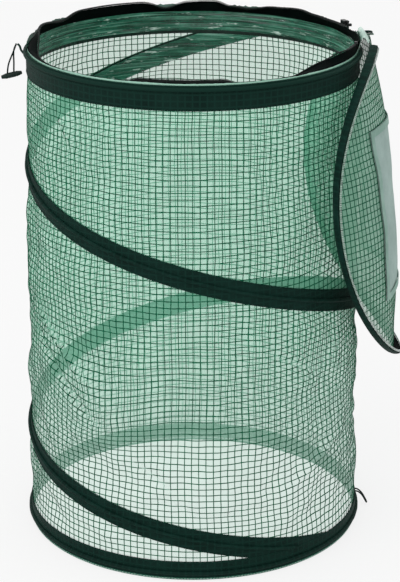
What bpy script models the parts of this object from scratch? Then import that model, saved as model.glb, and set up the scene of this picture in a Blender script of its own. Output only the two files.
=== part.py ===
"""Pop-up mini greenhouse: a film cylinder held open by a spring steel helix, with a zip-round lid.

Lengths are in metres, Z points up and the house stands on its hem tape at Z = 0.
"""
import math

import bmesh
import bpy
from mathutils import Matrix, Vector

# Overall form
HOUSE_RADIUS = 0.230
HOUSE_HEIGHT = 0.688
FLARE = 0.045
FIT = 0.0003
SEGMENTS = 48

# Film wall, wire and the tape sleeves that hold the wire against the film
FILM_THICKNESS = 0.0008
WIRE_RADIUS = 0.0012
TUNNEL_RADIUS = 0.0022
TUNNEL_SKIN = 0.0006
TAPE_THICKNESS = 0.0009
BULGE_ARC_POINTS = 5
GROOVE_ARC_POINTS = 9
WIRE_SIDES_RESOLUTION = 1

# Sleeve widths and the wire's height above each sleeve's lower edge
TOP_BAND_WIDTH = 0.033
TOP_WIRE_DROP = 0.005
BOTTOM_BAND_WIDTH = 0.024
BOTTOM_WIRE_RISE = 0.007
BOTTOM_BAND_LIFT = 0.0035
HELIX_BAND_WIDTH = 0.031
HEM_HEIGHT = 0.0027
HEM_WIDTH = 0.003

# The helix's middle, as a height over the ring and a fall that eases off, per half turn from azimuth 0
HELIX_OVER_RING = 0.0625
HELIX_FALL = 0.2273
HELIX_EASING = 0.00859
HELIX_FIRST_STEP = 8
HELIX_LAST_STEP = 92
HELIX_WIRE_FIRST_STEP = 11
HELIX_WIRE_LAST_STEP = 88
HELIX_STACKING = 0.1
CUTTER_SIZE = 1.0

# Crimped ferrules
FERRULE_LENGTH = 0.014
FERRULE_RADIUS = 0.0018
FERRULE_BORE = 0.0015
FERRULE_SIDES = 10
FERRULE_FACET = 12

# Upright lap seam at the back of the wall
SEAM_WIDTH = 0.018
SEAM_THICKNESS = 0.0005
SEAM_AZIMUTH = math.radians(-11)

# Zip on the ring
ZIP_TAPE_RISE = 0.014
ZIP_TAPE_TUCK = 0.012
ZIP_TAPE_THICKNESS = 0.0008
COIL_WIDTH = 0.0026
COIL_HEIGHT = 0.0022
COIL_END_STEPS = 2
STOP_LENGTH = 0.004
STOP_WIDTH = 0.0036
STOP_HEIGHT = 0.0034

# Slider and pull
SLIDER_AZIMUTH = math.radians(20)
SLIDER_LENGTH = 0.012
SLIDER_WALL = 0.0014
SLIDER_ROOF = 0.0012
SLIDER_RUN = 0.0006
SLIDER_LIP = 0.0028
EAR_THICKNESS = 0.0012
EAR_GAP = 0.0036
EAR_REACH = 0.0030
PIVOT_RADIUS = 0.0007
PIVOT_SIDES = 10
PULL_LENGTH = 0.0145
PULL_WIDTH = 0.0068
PULL_THICKNESS = 0.0014
PULL_EYE_RADIUS = 0.0018
PULL_EYE_BORE = 0.0011
PULL_EYE_WIDTH = 0.0028
PULL_EYE_SIDES = 16
PULL_BORE_SIDES = 12

# Lid, hanging open outside the wall
LID_RADIUS = 0.224
LID_STANDOFF = 0.009
LID_RISE = 0.014
LID_TILT = math.radians(5.3)
LID_BULGE = 0.017
LID_CURL_RADIUS = 0.225
LID_TWIST = -0.10
LID_SHUT_GAP = 0.0022
LID_RINGS = 5
LID_SIDES = 48
SKIRT_DEPTH = 0.011
SKIRT_THICKNESS = 0.0016
VENT_HALF_WIDTH = 0.110
VENT_HALF_HEIGHT = 0.110
VENT_LAP = 0.009
NET_THICKNESS = 0.0006
NET_CUTS = 14
LAYER_GAP = 0.0008
LID_OPEN_SIDES = 2

# Hinge strip between the ring and the lid
STRIP_HALF_ANGLE = math.radians(8)
STRIP_THICKNESS = 0.0008
STRIP_CREST = 0.018
STRIP_LAP = 0.004
STRIP_LID_GAP = 0.00045
STRIP_ROWS = 9
STRIP_COLUMNS = 8

# Toggle on its cord, at the left of the ring
TOGGLE_AZIMUTH = math.radians(180)
CORD_RADIUS = 0.0011
TOGGLE_LENGTH = 0.029
TOGGLE_RADIUS = 0.0038
TOGGLE_END_RADIUS = 0.0026
TOGGLE_SIDES = 12
TOGGLE_TILT = math.radians(14)
TOGGLE_STANDOFF = 0.0175
TOGGLE_DROP = 0.041
TOGGLE_ROOT_DROP = 0.0115
TOGGLE_CREST_REACH = 0.010
TOGGLE_CREST_RISE = 0.0020
TAB_RADIUS = 0.0015
TAB_STEPS = 16
STRAND_SPACING = 0.009
STRAND_LEAD = 0.012
STRAND_GATHER = 0.4
STRAND_STEPS = 14

# Where the tab and the strands bend, as a reach from the ring's radius and a height from its top
TAB_BENDS = ((0.0, -0.0112), (0.0036, -0.0065), (0.0054, -0.0010))
STRAND_BEND = (0.0138, -0.0080)

# Loop at the foot, at the right
LOOP_AZIMUTH = math.radians(1)
LOOP_RISE = 0.022
LOOP_KNOTS = ((0.0, 0.0), (0.0050, -0.0010), (0.0100, -0.0050), (0.0138, -0.0105), (0.0165, -0.0155))
LOOP_BEND_RADIUS = 0.0046
LOOP_DEPTH_SLOPE = math.radians(26)
LOOP_STRAND_STEPS = 12
LOOP_BEND_STEPS = 8

# Sizes that follow
WALL_OUTER = HOUSE_RADIUS - TUNNEL_SKIN - 2 * TUNNEL_RADIUS
WALL_INNER = WALL_OUTER - FILM_THICKNESS
BAND_INNER = WALL_OUTER + FIT
BAND_OUTER = BAND_INNER + TAPE_THICKNESS
WIRE_PATH = HOUSE_RADIUS - TUNNEL_SKIN - TUNNEL_RADIUS
STEP_ANGLE = 2 * math.pi / SEGMENTS
LID_STEP_ANGLE = 2 * math.pi / LID_SIDES
FLARE_TOP = HOUSE_HEIGHT - TOP_BAND_WIDTH
TOP_WIRE_HEIGHT = HOUSE_HEIGHT - TOP_WIRE_DROP
BOTTOM_WIRE_HEIGHT = BOTTOM_BAND_LIFT + BOTTOM_WIRE_RISE
TOGGLE_ROOT_HEIGHT = HOUSE_HEIGHT - TOGGLE_ROOT_DROP
TOGGLE_CREST_RADIUS = HOUSE_RADIUS + TOGGLE_CREST_REACH
TOGGLE_CREST_HEIGHT = HOUSE_HEIGHT + TOGGLE_CREST_RISE
ZIP_OUTER = WALL_INNER - FIT
ZIP_INNER = ZIP_OUTER - ZIP_TAPE_THICKNESS
ZIP_PATH = (ZIP_OUTER + ZIP_INNER) / 2
ZIP_TAPE_TOP = HOUSE_HEIGHT + ZIP_TAPE_RISE
COIL_CENTRE_HEIGHT = ZIP_TAPE_TOP + FIT + COIL_HEIGHT / 2
COIL_TOP = COIL_CENTRE_HEIGHT + COIL_HEIGHT / 2
LID_EDGE_X = HOUSE_RADIUS + LID_STANDOFF
LID_EDGE_Z = HOUSE_HEIGHT + LID_RISE
LID_CLOSED_HEIGHT = COIL_TOP + SKIRT_DEPTH + LID_SHUT_GAP
LID_SWING = math.radians(270) - LID_TILT

CORD_PIECES = ("toggle_cord_inner", "toggle_cord_outer", "toggle_bar", "base_loop")

FILM_GREEN = (0.55, 0.76, 0.63)
TAPE_GREEN = (0.012, 0.055, 0.042)
STEEL = (0.55, 0.56, 0.57)
COIL_WHITE = (0.75, 0.78, 0.77)
NET_GREY = (0.66, 0.70, 0.68)
BLACK = (0.02, 0.03, 0.03)


def clear_scene():
    for item in list(bpy.data.objects):
        bpy.data.objects.remove(item, do_unlink=True)


def make_collection(name):
    collection = bpy.data.collections.new(name)
    bpy.context.scene.collection.children.link(collection)
    return collection


def make_material(name, colour, roughness, metallic=0.0, alpha=1.0):
    material = bpy.data.materials.new(name)
    material.use_nodes = True
    shader = material.node_tree.nodes["Principled BSDF"]
    shader.inputs["Base Color"].default_value = (*colour, 1.0)
    shader.inputs["Roughness"].default_value = roughness
    shader.inputs["Metallic"].default_value = metallic
    shader.inputs["Alpha"].default_value = alpha
    return material


clear_scene()
PARTS = make_collection("mini_greenhouse")
CUTTERS = make_collection("cutters")
HOUSE = bpy.data.objects.new("greenhouse_axis", None)
PARTS.objects.link(HOUSE)


def add_object(name, data, colour, roughness, metallic=0.0, alpha=1.0):
    """Link a new piece to the house and give it its own material."""
    piece = bpy.data.objects.new(name, data)
    PARTS.objects.link(piece)
    piece.parent = HOUSE
    piece.data.materials.append(make_material(name, colour, roughness, metallic, alpha))
    return piece


def smooth(piece, angle=math.radians(40)):
    piece.data.shade_smooth()
    piece.data.set_sharp_from_angle(angle=angle)


def mesh_from(shape, name):
    mesh = bpy.data.meshes.new(name)
    shape.to_mesh(mesh)
    shape.free()
    return mesh


def apply_to_mesh(piece):
    """Replace a piece's mesh by its evaluated one, with the loose caps of a curve welded."""
    bpy.context.view_layer.update()
    graph = bpy.context.evaluated_depsgraph_get()
    mesh = bpy.data.meshes.new_from_object(piece.evaluated_get(graph))
    shape = bmesh.new()
    shape.from_mesh(mesh)
    bmesh.ops.remove_doubles(shape, verts=shape.verts, dist=1e-6)
    shape.to_mesh(mesh)
    shape.free()
    piece.modifiers.clear()
    piece.data = mesh
    return piece


def polar(radius, azimuth, height):
    return Vector((radius * math.cos(azimuth), radius * math.sin(azimuth), height))


def flare_at(height):
    """How much wider than the ring the wall stands at a height: it widens evenly below the top sleeve."""
    return 1 + FLARE * max(0.0, 1 - height / FLARE_TOP)


def turned(name, profile, colour, roughness, metallic=0.0, alpha=1.0, start=0.0, steps=SEGMENTS, climb=None):
    """Turn a closed profile about Z, through whole steps of the house's facets.

    With a climb, which gives the profile's height at each step, the turns are first stacked far apart, so
    that each corner's step can be read from its height.
    """
    full = steps == SEGMENTS and climb is None
    if full:
        profile = [(radius * flare_at(height), height) for radius, height in profile]
    shape = bmesh.new()
    corners = [shape.verts.new((radius, 0.0, height)) for radius, height in profile]
    for first, second in zip(corners, corners[1:] + corners[:1]):
        shape.edges.new((first, second))
    if not full:
        shape.faces.new(corners)
    mesh = mesh_from(shape, name)
    piece = add_object(name, mesh, colour, roughness, metallic, alpha)
    piece.rotation_euler.z = start
    if full:
        screw = piece.modifiers.new("Turn", "SCREW")
        screw.axis = "Z"
        screw.angle = 2 * math.pi
        screw.steps = steps
        screw.render_steps = steps
        screw.use_merge_vertices = True
        screw.merge_threshold = 0.00001
        screw.use_smooth_shade = False
        return piece
    shape = bmesh.new()
    shape.from_mesh(mesh)
    bmesh.ops.spin(
        shape,
        geom=list(shape.verts) + list(shape.edges) + list(shape.faces),
        cent=(0, 0, 0),
        axis=(0, 0, 1),
        dvec=(0, 0, HELIX_STACKING if climb else 0.0),
        angle=steps * STEP_ANGLE,
        steps=steps,
        use_duplicate=False,
    )
    for vert in shape.verts:
        if climb:
            step = round(vert.co.z / HELIX_STACKING)
            vert.co.z += climb(step) - step * HELIX_STACKING
        vert.co.xy *= flare_at(vert.co.z)
    bmesh.ops.recalc_face_normals(shape, faces=shape.faces)
    shape.to_mesh(mesh)
    shape.free()
    return piece


def section_arc(wire_height, radius, start, end, count):
    """Points of an arc round the wire, in a section of the sleeve."""
    points = []
    for step in range(count):
        angle = start + (end - start) * step / (count - 1)
        points.append((WIRE_PATH + radius * math.cos(angle), wire_height + radius * math.sin(angle)))
    return points


def sleeve_profile(lower, width, wire_height):
    """Section of a tape sleeve: a flat tape with a rounded tunnel for the wire, open towards the film."""
    upper = lower + width
    bulge = TUNNEL_RADIUS + TUNNEL_SKIN
    bulge_angle = math.acos((BAND_OUTER - WIRE_PATH) / bulge)
    mouth_angle = math.acos((BAND_INNER - WIRE_PATH) / TUNNEL_RADIUS)
    outside = section_arc(wire_height, bulge, bulge_angle, -bulge_angle, BULGE_ARC_POINTS)
    inside = section_arc(wire_height, TUNNEL_RADIUS, -mouth_angle, mouth_angle, GROOVE_ARC_POINTS)
    top = [(BAND_INNER, upper), (BAND_OUTER, upper)]
    foot = [(BAND_OUTER, lower), (BAND_INNER, lower)]
    return top + outside + foot + inside


def wire(name, points, radius, colour, roughness, metallic=0.0, resolution=WIRE_SIDES_RESOLUTION):
    """A round wire or cord along a list of points, with flat closed ends."""
    curve = bpy.data.curves.new(name, "CURVE")
    curve.dimensions = "3D"
    curve.bevel_depth = radius
    curve.bevel_resolution = resolution
    curve.use_fill_caps = True
    curve.twist_mode = "Z_UP"
    add_spline(curve, points)
    return add_object(name, curve, colour, roughness, metallic)


def add_spline(curve, points):
    spline = curve.splines.new("POLY")
    spline.points.add(len(points) - 1)
    for slot, point in zip(spline.points, points):
        slot.co = (*point, 1.0)


def smooth_path(knots, count):
    """Points along a centripetal Catmull-Rom curve through a few knots, evenly numbered per stretch."""
    ends = [knots[0] * 2 - knots[1]] + list(knots) + [knots[-1] * 2 - knots[-2]]
    path = []
    stretches = len(knots) - 1
    for step in range(count + 1):
        place = min(step * stretches / count, stretches - 1e-9)
        index = int(place)
        t = place - index
        a, b, c, d = ends[index:index + 4]
        path.append(0.5 * ((2 * b) + (c - a) * t + (2 * a - 5 * b + 4 * c - d) * t * t
                           + (3 * b - a - 3 * c + d) * t * t * t))
    return path


def hoop_points(height, gap):
    """A hoop's points on the facets' corners, open by a small gap in the middle of one facet."""
    start = (FERRULE_FACET + 1) * STEP_ANGLE
    radius = WIRE_PATH * flare_at(height)
    corners = [polar(radius, start + step * STEP_ANGLE, height) for step in range(SEGMENTS)]
    middle = (corners[0] + corners[-1]) / 2
    along = (corners[0] - corners[-1]).normalized()
    return [middle + along * gap / 2] + corners + [middle - along * gap / 2]


def ferrule(name, centre, along):
    """Crimped tube, turned about its own axis and laid along the wire."""
    half = FERRULE_LENGTH / 2
    shape = bmesh.new()
    corners = [
        shape.verts.new((FERRULE_RADIUS, 0, half)),
        shape.verts.new((FERRULE_RADIUS, 0, -half)),
        shape.verts.new((FERRULE_BORE, 0, -half)),
        shape.verts.new((FERRULE_BORE, 0, half)),
    ]
    edges = [shape.edges.new((a, b)) for a, b in zip(corners, corners[1:] + corners[:1])]
    bmesh.ops.spin(
        shape, geom=corners + edges, cent=(0, 0, 0), axis=(0, 0, 1), angle=2 * math.pi,
        steps=FERRULE_SIDES, use_merge=True, use_duplicate=False,
    )
    bmesh.ops.recalc_face_normals(shape, faces=shape.faces)
    piece = add_object(name, mesh_from(shape, name), STEEL, 0.35, 0.9)
    piece.rotation_euler = Vector((0, 0, 1)).rotation_difference(along).to_euler()
    piece.location = centre
    smooth(piece)


def build_foot():
    """Hem tape on the floor, lower sleeve, its hoop and ferrule."""
    middle = (WALL_OUTER + WALL_INNER) / 2
    turned(
        "bottom_hem_tape",
        [
            (middle - HEM_WIDTH / 2, HEM_HEIGHT),
            (middle + HEM_WIDTH / 2, HEM_HEIGHT),
            (middle + HEM_WIDTH / 2, 0.0),
            (middle - HEM_WIDTH / 2, 0.0),
        ],
        TAPE_GREEN, 0.8,
    )
    band = sleeve_profile(BOTTOM_BAND_LIFT, BOTTOM_BAND_WIDTH, BOTTOM_WIRE_HEIGHT)
    turned("bottom_band", band, TAPE_GREEN, 0.75)
    wire("bottom_hoop_wire", hoop_points(BOTTOM_WIRE_HEIGHT, 2 * FIT), WIRE_RADIUS, STEEL, 0.35, 0.9)
    ferrule("bottom_hoop_ferrule", *hoop_ferrule_place(BOTTOM_WIRE_HEIGHT))


def hoop_ferrule_place(height):
    ends = hoop_points(height, 2 * FIT)
    return (ends[0] + ends[-1]) / 2, (ends[0] - ends[-1]).normalized()


def build_wall():
    """Film cylinder and the strip over its upright seam."""
    low = HEM_HEIGHT + FIT
    turned(
        "wall_sheet",
        [
            (WALL_INNER, HOUSE_HEIGHT), (WALL_OUTER, HOUSE_HEIGHT), (WALL_OUTER, FLARE_TOP),
            (WALL_OUTER, low), (WALL_INNER, low), (WALL_INNER, FLARE_TOP),
        ],
        FILM_GREEN, 0.35, alpha=0.45,
    )
    shape = bmesh.new()
    bmesh.ops.create_cube(shape, size=1.0)
    seam_low = HEM_HEIGHT + FIT
    seam_high = HOUSE_HEIGHT - ZIP_TAPE_TUCK - 2 * FIT
    size = (SEAM_THICKNESS, SEAM_WIDTH, seam_high - seam_low)
    bmesh.ops.scale(shape, vec=size, verts=shape.verts)
    facet = round(SEAM_AZIMUTH / STEP_ANGLE - 0.5) + 0.5
    inner_face = WALL_INNER * math.cos(STEP_ANGLE / 2)
    place = polar(inner_face - FIT - SEAM_THICKNESS / 2, facet * STEP_ANGLE, (seam_high + seam_low) / 2)
    turn = Matrix.Rotation(facet * STEP_ANGLE, 4, "Z")
    bmesh.ops.transform(shape, matrix=Matrix.Translation(place) @ turn, verts=shape.verts)
    everything = list(shape.verts) + list(shape.edges) + list(shape.faces)
    bmesh.ops.bisect_plane(shape, geom=everything, plane_co=(0, 0, FLARE_TOP), plane_no=(0, 0, 1))
    for vert in shape.verts:
        vert.co.xy *= flare_at(vert.co.z)
    add_object("wall_seam_strip", mesh_from(shape, "wall_seam_strip"), FILM_GREEN, 0.35, alpha=0.6)


def helix_height(step):
    """Height of the helix's middle at a facet corner, counted from azimuth 0 and on through each turn."""
    half_turns = step / (SEGMENTS / 2)
    return HOUSE_HEIGHT + HELIX_OVER_RING - HELIX_FALL * half_turns + HELIX_EASING * half_turns ** 2


def level_cutter(name, low):
    """A block with its underside at a height, wider than the house."""
    shape = bmesh.new()
    add_box(shape, (CUTTER_SIZE, CUTTER_SIZE, CUTTER_SIZE), (0, 0, low + CUTTER_SIZE / 2))
    cutter = helper_object(name, shape)
    cutter.parent = HOUSE
    return cutter


def build_helix():
    """Sleeve that winds down the wall, its wire and the crimps on the wire's ends.

    The sleeve is cut level where it runs out at the upper and the lower sleeve.
    """
    half = HELIX_BAND_WIDTH / 2
    sleeve = turned(
        "helix_band", sleeve_profile(-half, HELIX_BAND_WIDTH, 0.0), TAPE_GREEN, 0.75,
        start=HELIX_FIRST_STEP * STEP_ANGLE, steps=HELIX_LAST_STEP - HELIX_FIRST_STEP,
        climb=lambda step: helix_height(HELIX_FIRST_STEP + step),
    )
    upper = level_cutter("helix_upper_cutter", HOUSE_HEIGHT - TOP_BAND_WIDTH - FIT)
    lower = level_cutter("helix_lower_cutter", BOTTOM_BAND_LIFT + BOTTOM_BAND_WIDTH + FIT - CUTTER_SIZE)
    combine(sleeve, upper, "DIFFERENCE")
    combine(sleeve, lower, "DIFFERENCE")
    points = []
    for step in range(HELIX_WIRE_FIRST_STEP, HELIX_WIRE_LAST_STEP + 1):
        height = helix_height(step)
        points.append(polar(WIRE_PATH * flare_at(height), step * STEP_ANGLE, height))
    points[0] = points[0] + (points[1] - points[0]).normalized() * WIRE_RADIUS
    points[-1] = points[-1] + (points[-2] - points[-1]).normalized() * WIRE_RADIUS
    wire("helix_wire", points, WIRE_RADIUS, STEEL, 0.35, 0.9)
    ends = {"helix_wire_upper_ferrule": points[:2], "helix_wire_lower_ferrule": points[-2:]}
    for name, (first_point, second_point) in ends.items():
        ferrule(name, (first_point + second_point) / 2, (second_point - first_point).normalized())


def build_top_ring():
    """Upper sleeve with its hoop, and the zip that stands on it."""
    lower = HOUSE_HEIGHT - TOP_BAND_WIDTH
    turned("top_band", sleeve_profile(lower, TOP_BAND_WIDTH, TOP_WIRE_HEIGHT), TAPE_GREEN, 0.75)
    wire("top_hoop_wire", hoop_points(TOP_WIRE_HEIGHT, 2 * FIT), WIRE_RADIUS, STEEL, 0.35, 0.9)
    ferrule("top_hoop_ferrule", *hoop_ferrule_place(TOP_WIRE_HEIGHT))
    foot = HOUSE_HEIGHT - ZIP_TAPE_TUCK
    turned(
        "body_zip_tape",
        [(ZIP_INNER, ZIP_TAPE_TOP), (ZIP_OUTER, ZIP_TAPE_TOP), (ZIP_OUTER, foot), (ZIP_INNER, foot)],
        BLACK, 0.8,
    )
    turned(
        "body_zip_coil", coil_profile(ZIP_PATH, COIL_CENTRE_HEIGHT), COIL_WHITE, 0.3,
        start=COIL_END_STEPS * STEP_ANGLE, steps=SEGMENTS - 2 * COIL_END_STEPS,
    )
    build_stops()


def coil_profile(radius, height):
    """Six-sided section of a zip coil, wider than it is high."""
    wide = COIL_WIDTH / 2
    high = COIL_HEIGHT / 2
    return [
        (radius - wide / 2, height + high),
        (radius + wide / 2, height + high),
        (radius + wide, height),
        (radius + wide / 2, height - high),
        (radius - wide / 2, height - high),
        (radius - wide, height),
    ]


def build_stops():
    """The two blocks that end the coil, one at each side of the hinge."""
    clear = STOP_LENGTH / 2 + 2 * FIT
    for side, name in ((1, "zip_start_stop"), (-1, "zip_end_stop")):
        azimuth = side * (COIL_END_STEPS * STEP_ANGLE - clear / ZIP_PATH)
        shape = bmesh.new()
        add_box(shape, (STOP_WIDTH, STOP_LENGTH, STOP_HEIGHT), (0, 0, 0))
        stop = add_object(name, mesh_from(shape, name), BLACK, 0.4)
        set_on_ring([stop], azimuth, ZIP_PATH, ZIP_TAPE_TOP + FIT + STOP_HEIGHT / 2)


def add_box(shape, size, place):
    made = bmesh.ops.create_cube(shape, size=1.0)["verts"]
    bmesh.ops.scale(shape, vec=size, verts=made)
    bmesh.ops.translate(shape, vec=place, verts=made)
    return made


def helper_object(name, shape):
    """A cutter or a join piece, shown as wire and left out of renders."""
    item = bpy.data.objects.new(name, mesh_from(shape, name))
    CUTTERS.objects.link(item)
    item.hide_render = True
    item.display_type = "WIRE"
    return item


def combine(piece, other, operation):
    boolean = piece.modifiers.new(other.name, "BOOLEAN")
    boolean.operation = operation
    boolean.solver = "EXACT"
    boolean.object = other


def set_on_ring(items, azimuth, radius, height):
    """Turn and place pieces whose own X is radial, Y runs along the ring and Z is up."""
    for item in items:
        item.rotation_euler.z = azimuth
        item.location = polar(radius, azimuth, height)


def build_slider():
    """Slider: a box round the coil with a slot for the tape, and two ears that hold the pivot."""
    slot_half = COIL_WIDTH / 2 + SLIDER_RUN
    outer_half = slot_half + SLIDER_WALL
    channel_half_height = COIL_HEIGHT / 2 + SLIDER_RUN
    top = channel_half_height + SLIDER_ROOF
    bottom = -channel_half_height - SLIDER_LIP
    shape = bmesh.new()
    add_box(shape, (2 * outer_half, SLIDER_LENGTH, top - bottom), (0, 0, (top + bottom) / 2))
    slider = add_object("zip_slider", mesh_from(shape, "zip_slider"), BLACK, 0.3, 0.6)
    bevel = slider.modifiers.new("Rounded edges", "BEVEL")
    bevel.width = SLIDER_ROOF / 2
    bevel.segments = 2
    channel = bmesh.new()
    add_box(channel, (2 * slot_half, 2 * SLIDER_LENGTH, 2 * channel_half_height), (0, 0, 0))
    slot = bmesh.new()
    slot_width = ZIP_TAPE_THICKNESS + 2 * SLIDER_RUN
    add_box(slot, (slot_width, 2 * SLIDER_LENGTH, -2 * bottom), (0, 0, bottom))
    ears = bmesh.new()
    pivot = outer_half + EAR_REACH - PIVOT_RADIUS - FIT
    ear_high = 2 * PULL_EYE_RADIUS
    for side in (-1, 1):
        place = (outer_half + EAR_REACH / 2 - SLIDER_WALL / 2, side * (EAR_GAP + EAR_THICKNESS) / 2, 0)
        add_box(ears, (EAR_REACH + SLIDER_WALL / 2, EAR_THICKNESS, ear_high), place)
    pin = bmesh.new()
    bmesh.ops.create_cone(
        pin, cap_ends=True, segments=PIVOT_SIDES, radius1=PIVOT_RADIUS, radius2=PIVOT_RADIUS,
        depth=EAR_GAP + EAR_THICKNESS,
        matrix=Matrix.Translation((pivot, 0, 0)) @ Matrix.Rotation(math.pi / 2, 4, "X"),
    )
    cuts = [helper_object("slider_channel", channel), helper_object("slider_slot", slot)]
    joins = [helper_object("slider_ears", ears), helper_object("slider_pin", pin)]
    for item in cuts:
        combine(slider, item, "DIFFERENCE")
    for item in joins:
        combine(slider, item, "UNION")
    radius = ZIP_PATH * (1 + math.cos(STEP_ANGLE / 2)) / 2
    set_on_ring([slider] + cuts + joins, SLIDER_AZIMUTH, radius, COIL_CENTRE_HEIGHT)
    for item in cuts + joins:
        item.parent = HOUSE
    return radius + pivot


def build_pull(pivot_radius):
    """Pull tab, hanging from its eye round the slider's pin."""
    eye = bmesh.new()
    bmesh.ops.create_cone(
        eye, cap_ends=True, segments=PULL_EYE_SIDES, radius1=PULL_EYE_RADIUS, radius2=PULL_EYE_RADIUS,
        depth=PULL_EYE_WIDTH, matrix=Matrix.Rotation(math.pi / 2, 4, "X"),
    )
    pull = add_object("zip_pull", mesh_from(eye, "zip_pull"), BLACK, 0.4, 0.3)
    neck = bmesh.new()
    neck_low = -2 * PULL_EYE_RADIUS - FIT
    add_box(neck, (PULL_THICKNESS, PULL_EYE_WIDTH, -neck_low), (0, 0, neck_low / 2 - PULL_EYE_BORE / 2))
    tab = bmesh.new()
    tab_high = neck_low - FIT
    add_box(tab, (PULL_THICKNESS, PULL_WIDTH, PULL_LENGTH + tab_high), (0, 0, (tab_high - PULL_LENGTH) / 2))
    through = []
    for edge in tab.edges:
        first, second = edge.verts
        if abs(first.co.x - second.co.x) > PULL_THICKNESS / 2:
            through.append(edge)
    bmesh.ops.bevel(
        tab, geom=through, offset=PULL_WIDTH / 4, segments=2, profile=0.5, affect="EDGES", material=-1,
    )
    bore = bmesh.new()
    bmesh.ops.create_cone(
        bore, cap_ends=True, segments=PULL_BORE_SIDES, radius1=PULL_EYE_BORE, radius2=PULL_EYE_BORE,
        depth=2 * PULL_EYE_WIDTH, matrix=Matrix.Rotation(math.pi / 2, 4, "X"),
    )
    joins = [helper_object("pull_neck", neck), helper_object("pull_tab", tab)]
    hole = helper_object("pull_bore", bore)
    for item in joins:
        combine(pull, item, "UNION")
    combine(pull, hole, "DIFFERENCE")
    helpers = joins + [hole]
    set_on_ring([pull] + helpers, SLIDER_AZIMUTH, pivot_radius, COIL_CENTRE_HEIGHT)
    for item in helpers:
        item.parent = HOUSE


def hang_lid(across, down, out):
    """Place a point of the flat lid, measured from its middle, on the curved hanging lid."""
    fall = down + LID_RADIUS
    share = fall / (2 * LID_RADIUS)
    angle = across / LID_CURL_RADIUS
    radius = LID_CURL_RADIUS + out
    x = LID_EDGE_X + fall * math.sin(LID_TILT) + LID_BULGE * math.sin(math.pi * share)
    x += radius * math.cos(angle) - LID_CURL_RADIUS + LID_TWIST * across * share
    return Vector((x, radius * math.sin(angle), LID_EDGE_Z - fall * math.cos(LID_TILT)))


def hang(piece):
    """Bend a flat lid piece, made with X across, Y down the lid and Z outwards, to the hanging shape."""
    apply_to_mesh(piece)
    for vert in piece.data.vertices:
        vert.co = hang_lid(vert.co.x, vert.co.y, vert.co.z)
    shape = bmesh.new()
    shape.from_mesh(piece.data)
    bmesh.ops.triangulate(shape, faces=shape.faces)
    bmesh.ops.recalc_face_normals(shape, faces=shape.faces)
    shape.to_mesh(piece.data)
    shape.free()
    smooth(piece)


def square_ray(angle, half_width, half_height):
    """Where a ray from the middle meets a rectangle."""
    x = math.cos(angle)
    y = math.sin(angle)
    scale = min(half_width / max(abs(x), 1e-9), half_height / max(abs(y), 1e-9))
    return Vector((x * scale, y * scale, 0))


def ring_sheet(name, inner, outer, rings, low, high, colour, roughness, alpha=1.0, hinge_gap=False):
    """A flat sheet between two outlines, given as functions of the angle, solid from low to high.

    With a hinge gap it is left open along the few sides at the hinge.
    """
    shape = bmesh.new()
    loops = []
    for ring in range(rings + 1):
        share = ring / rings
        loop = []
        for side in range(LID_SIDES):
            angle = side * LID_STEP_ANGLE
            spot = inner(angle).lerp(outer(angle), share)
            loop.append(shape.verts.new((spot.x, spot.y, low)))
        edges = [shape.edges.new((a, b)) for a, b in zip(loop, loop[1:] + loop[:1])]
        loops.append(edges)
    for first, second in zip(loops, loops[1:]):
        bmesh.ops.bridge_loops(shape, edges=first + second)
    if hinge_gap:
        reach = LID_RADIUS * math.sin(LID_OPEN_SIDES * LID_STEP_ANGLE)
        doomed = []
        for face in shape.faces:
            middle = face.calc_center_median()
            if middle.y < 0 and abs(middle.x) < reach:
                doomed.append(face)
        bmesh.ops.delete(shape, geom=doomed, context="FACES")
    bmesh.ops.recalc_face_normals(shape, faces=shape.faces)
    if sum(face.normal.z for face in shape.faces) < 0:
        bmesh.ops.reverse_faces(shape, faces=shape.faces)
    piece = add_object(name, mesh_from(shape, name), colour, roughness, alpha=alpha)
    solid = piece.modifiers.new("Thickness", "SOLIDIFY")
    solid.thickness = high - low
    solid.offset = 1.0
    return piece


def circle_at(radius):
    return lambda angle: Vector((radius * math.cos(angle), radius * math.sin(angle), 0))


def window_at(grow):
    return lambda angle: square_ray(angle, VENT_HALF_WIDTH + grow, VENT_HALF_HEIGHT + grow)


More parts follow.
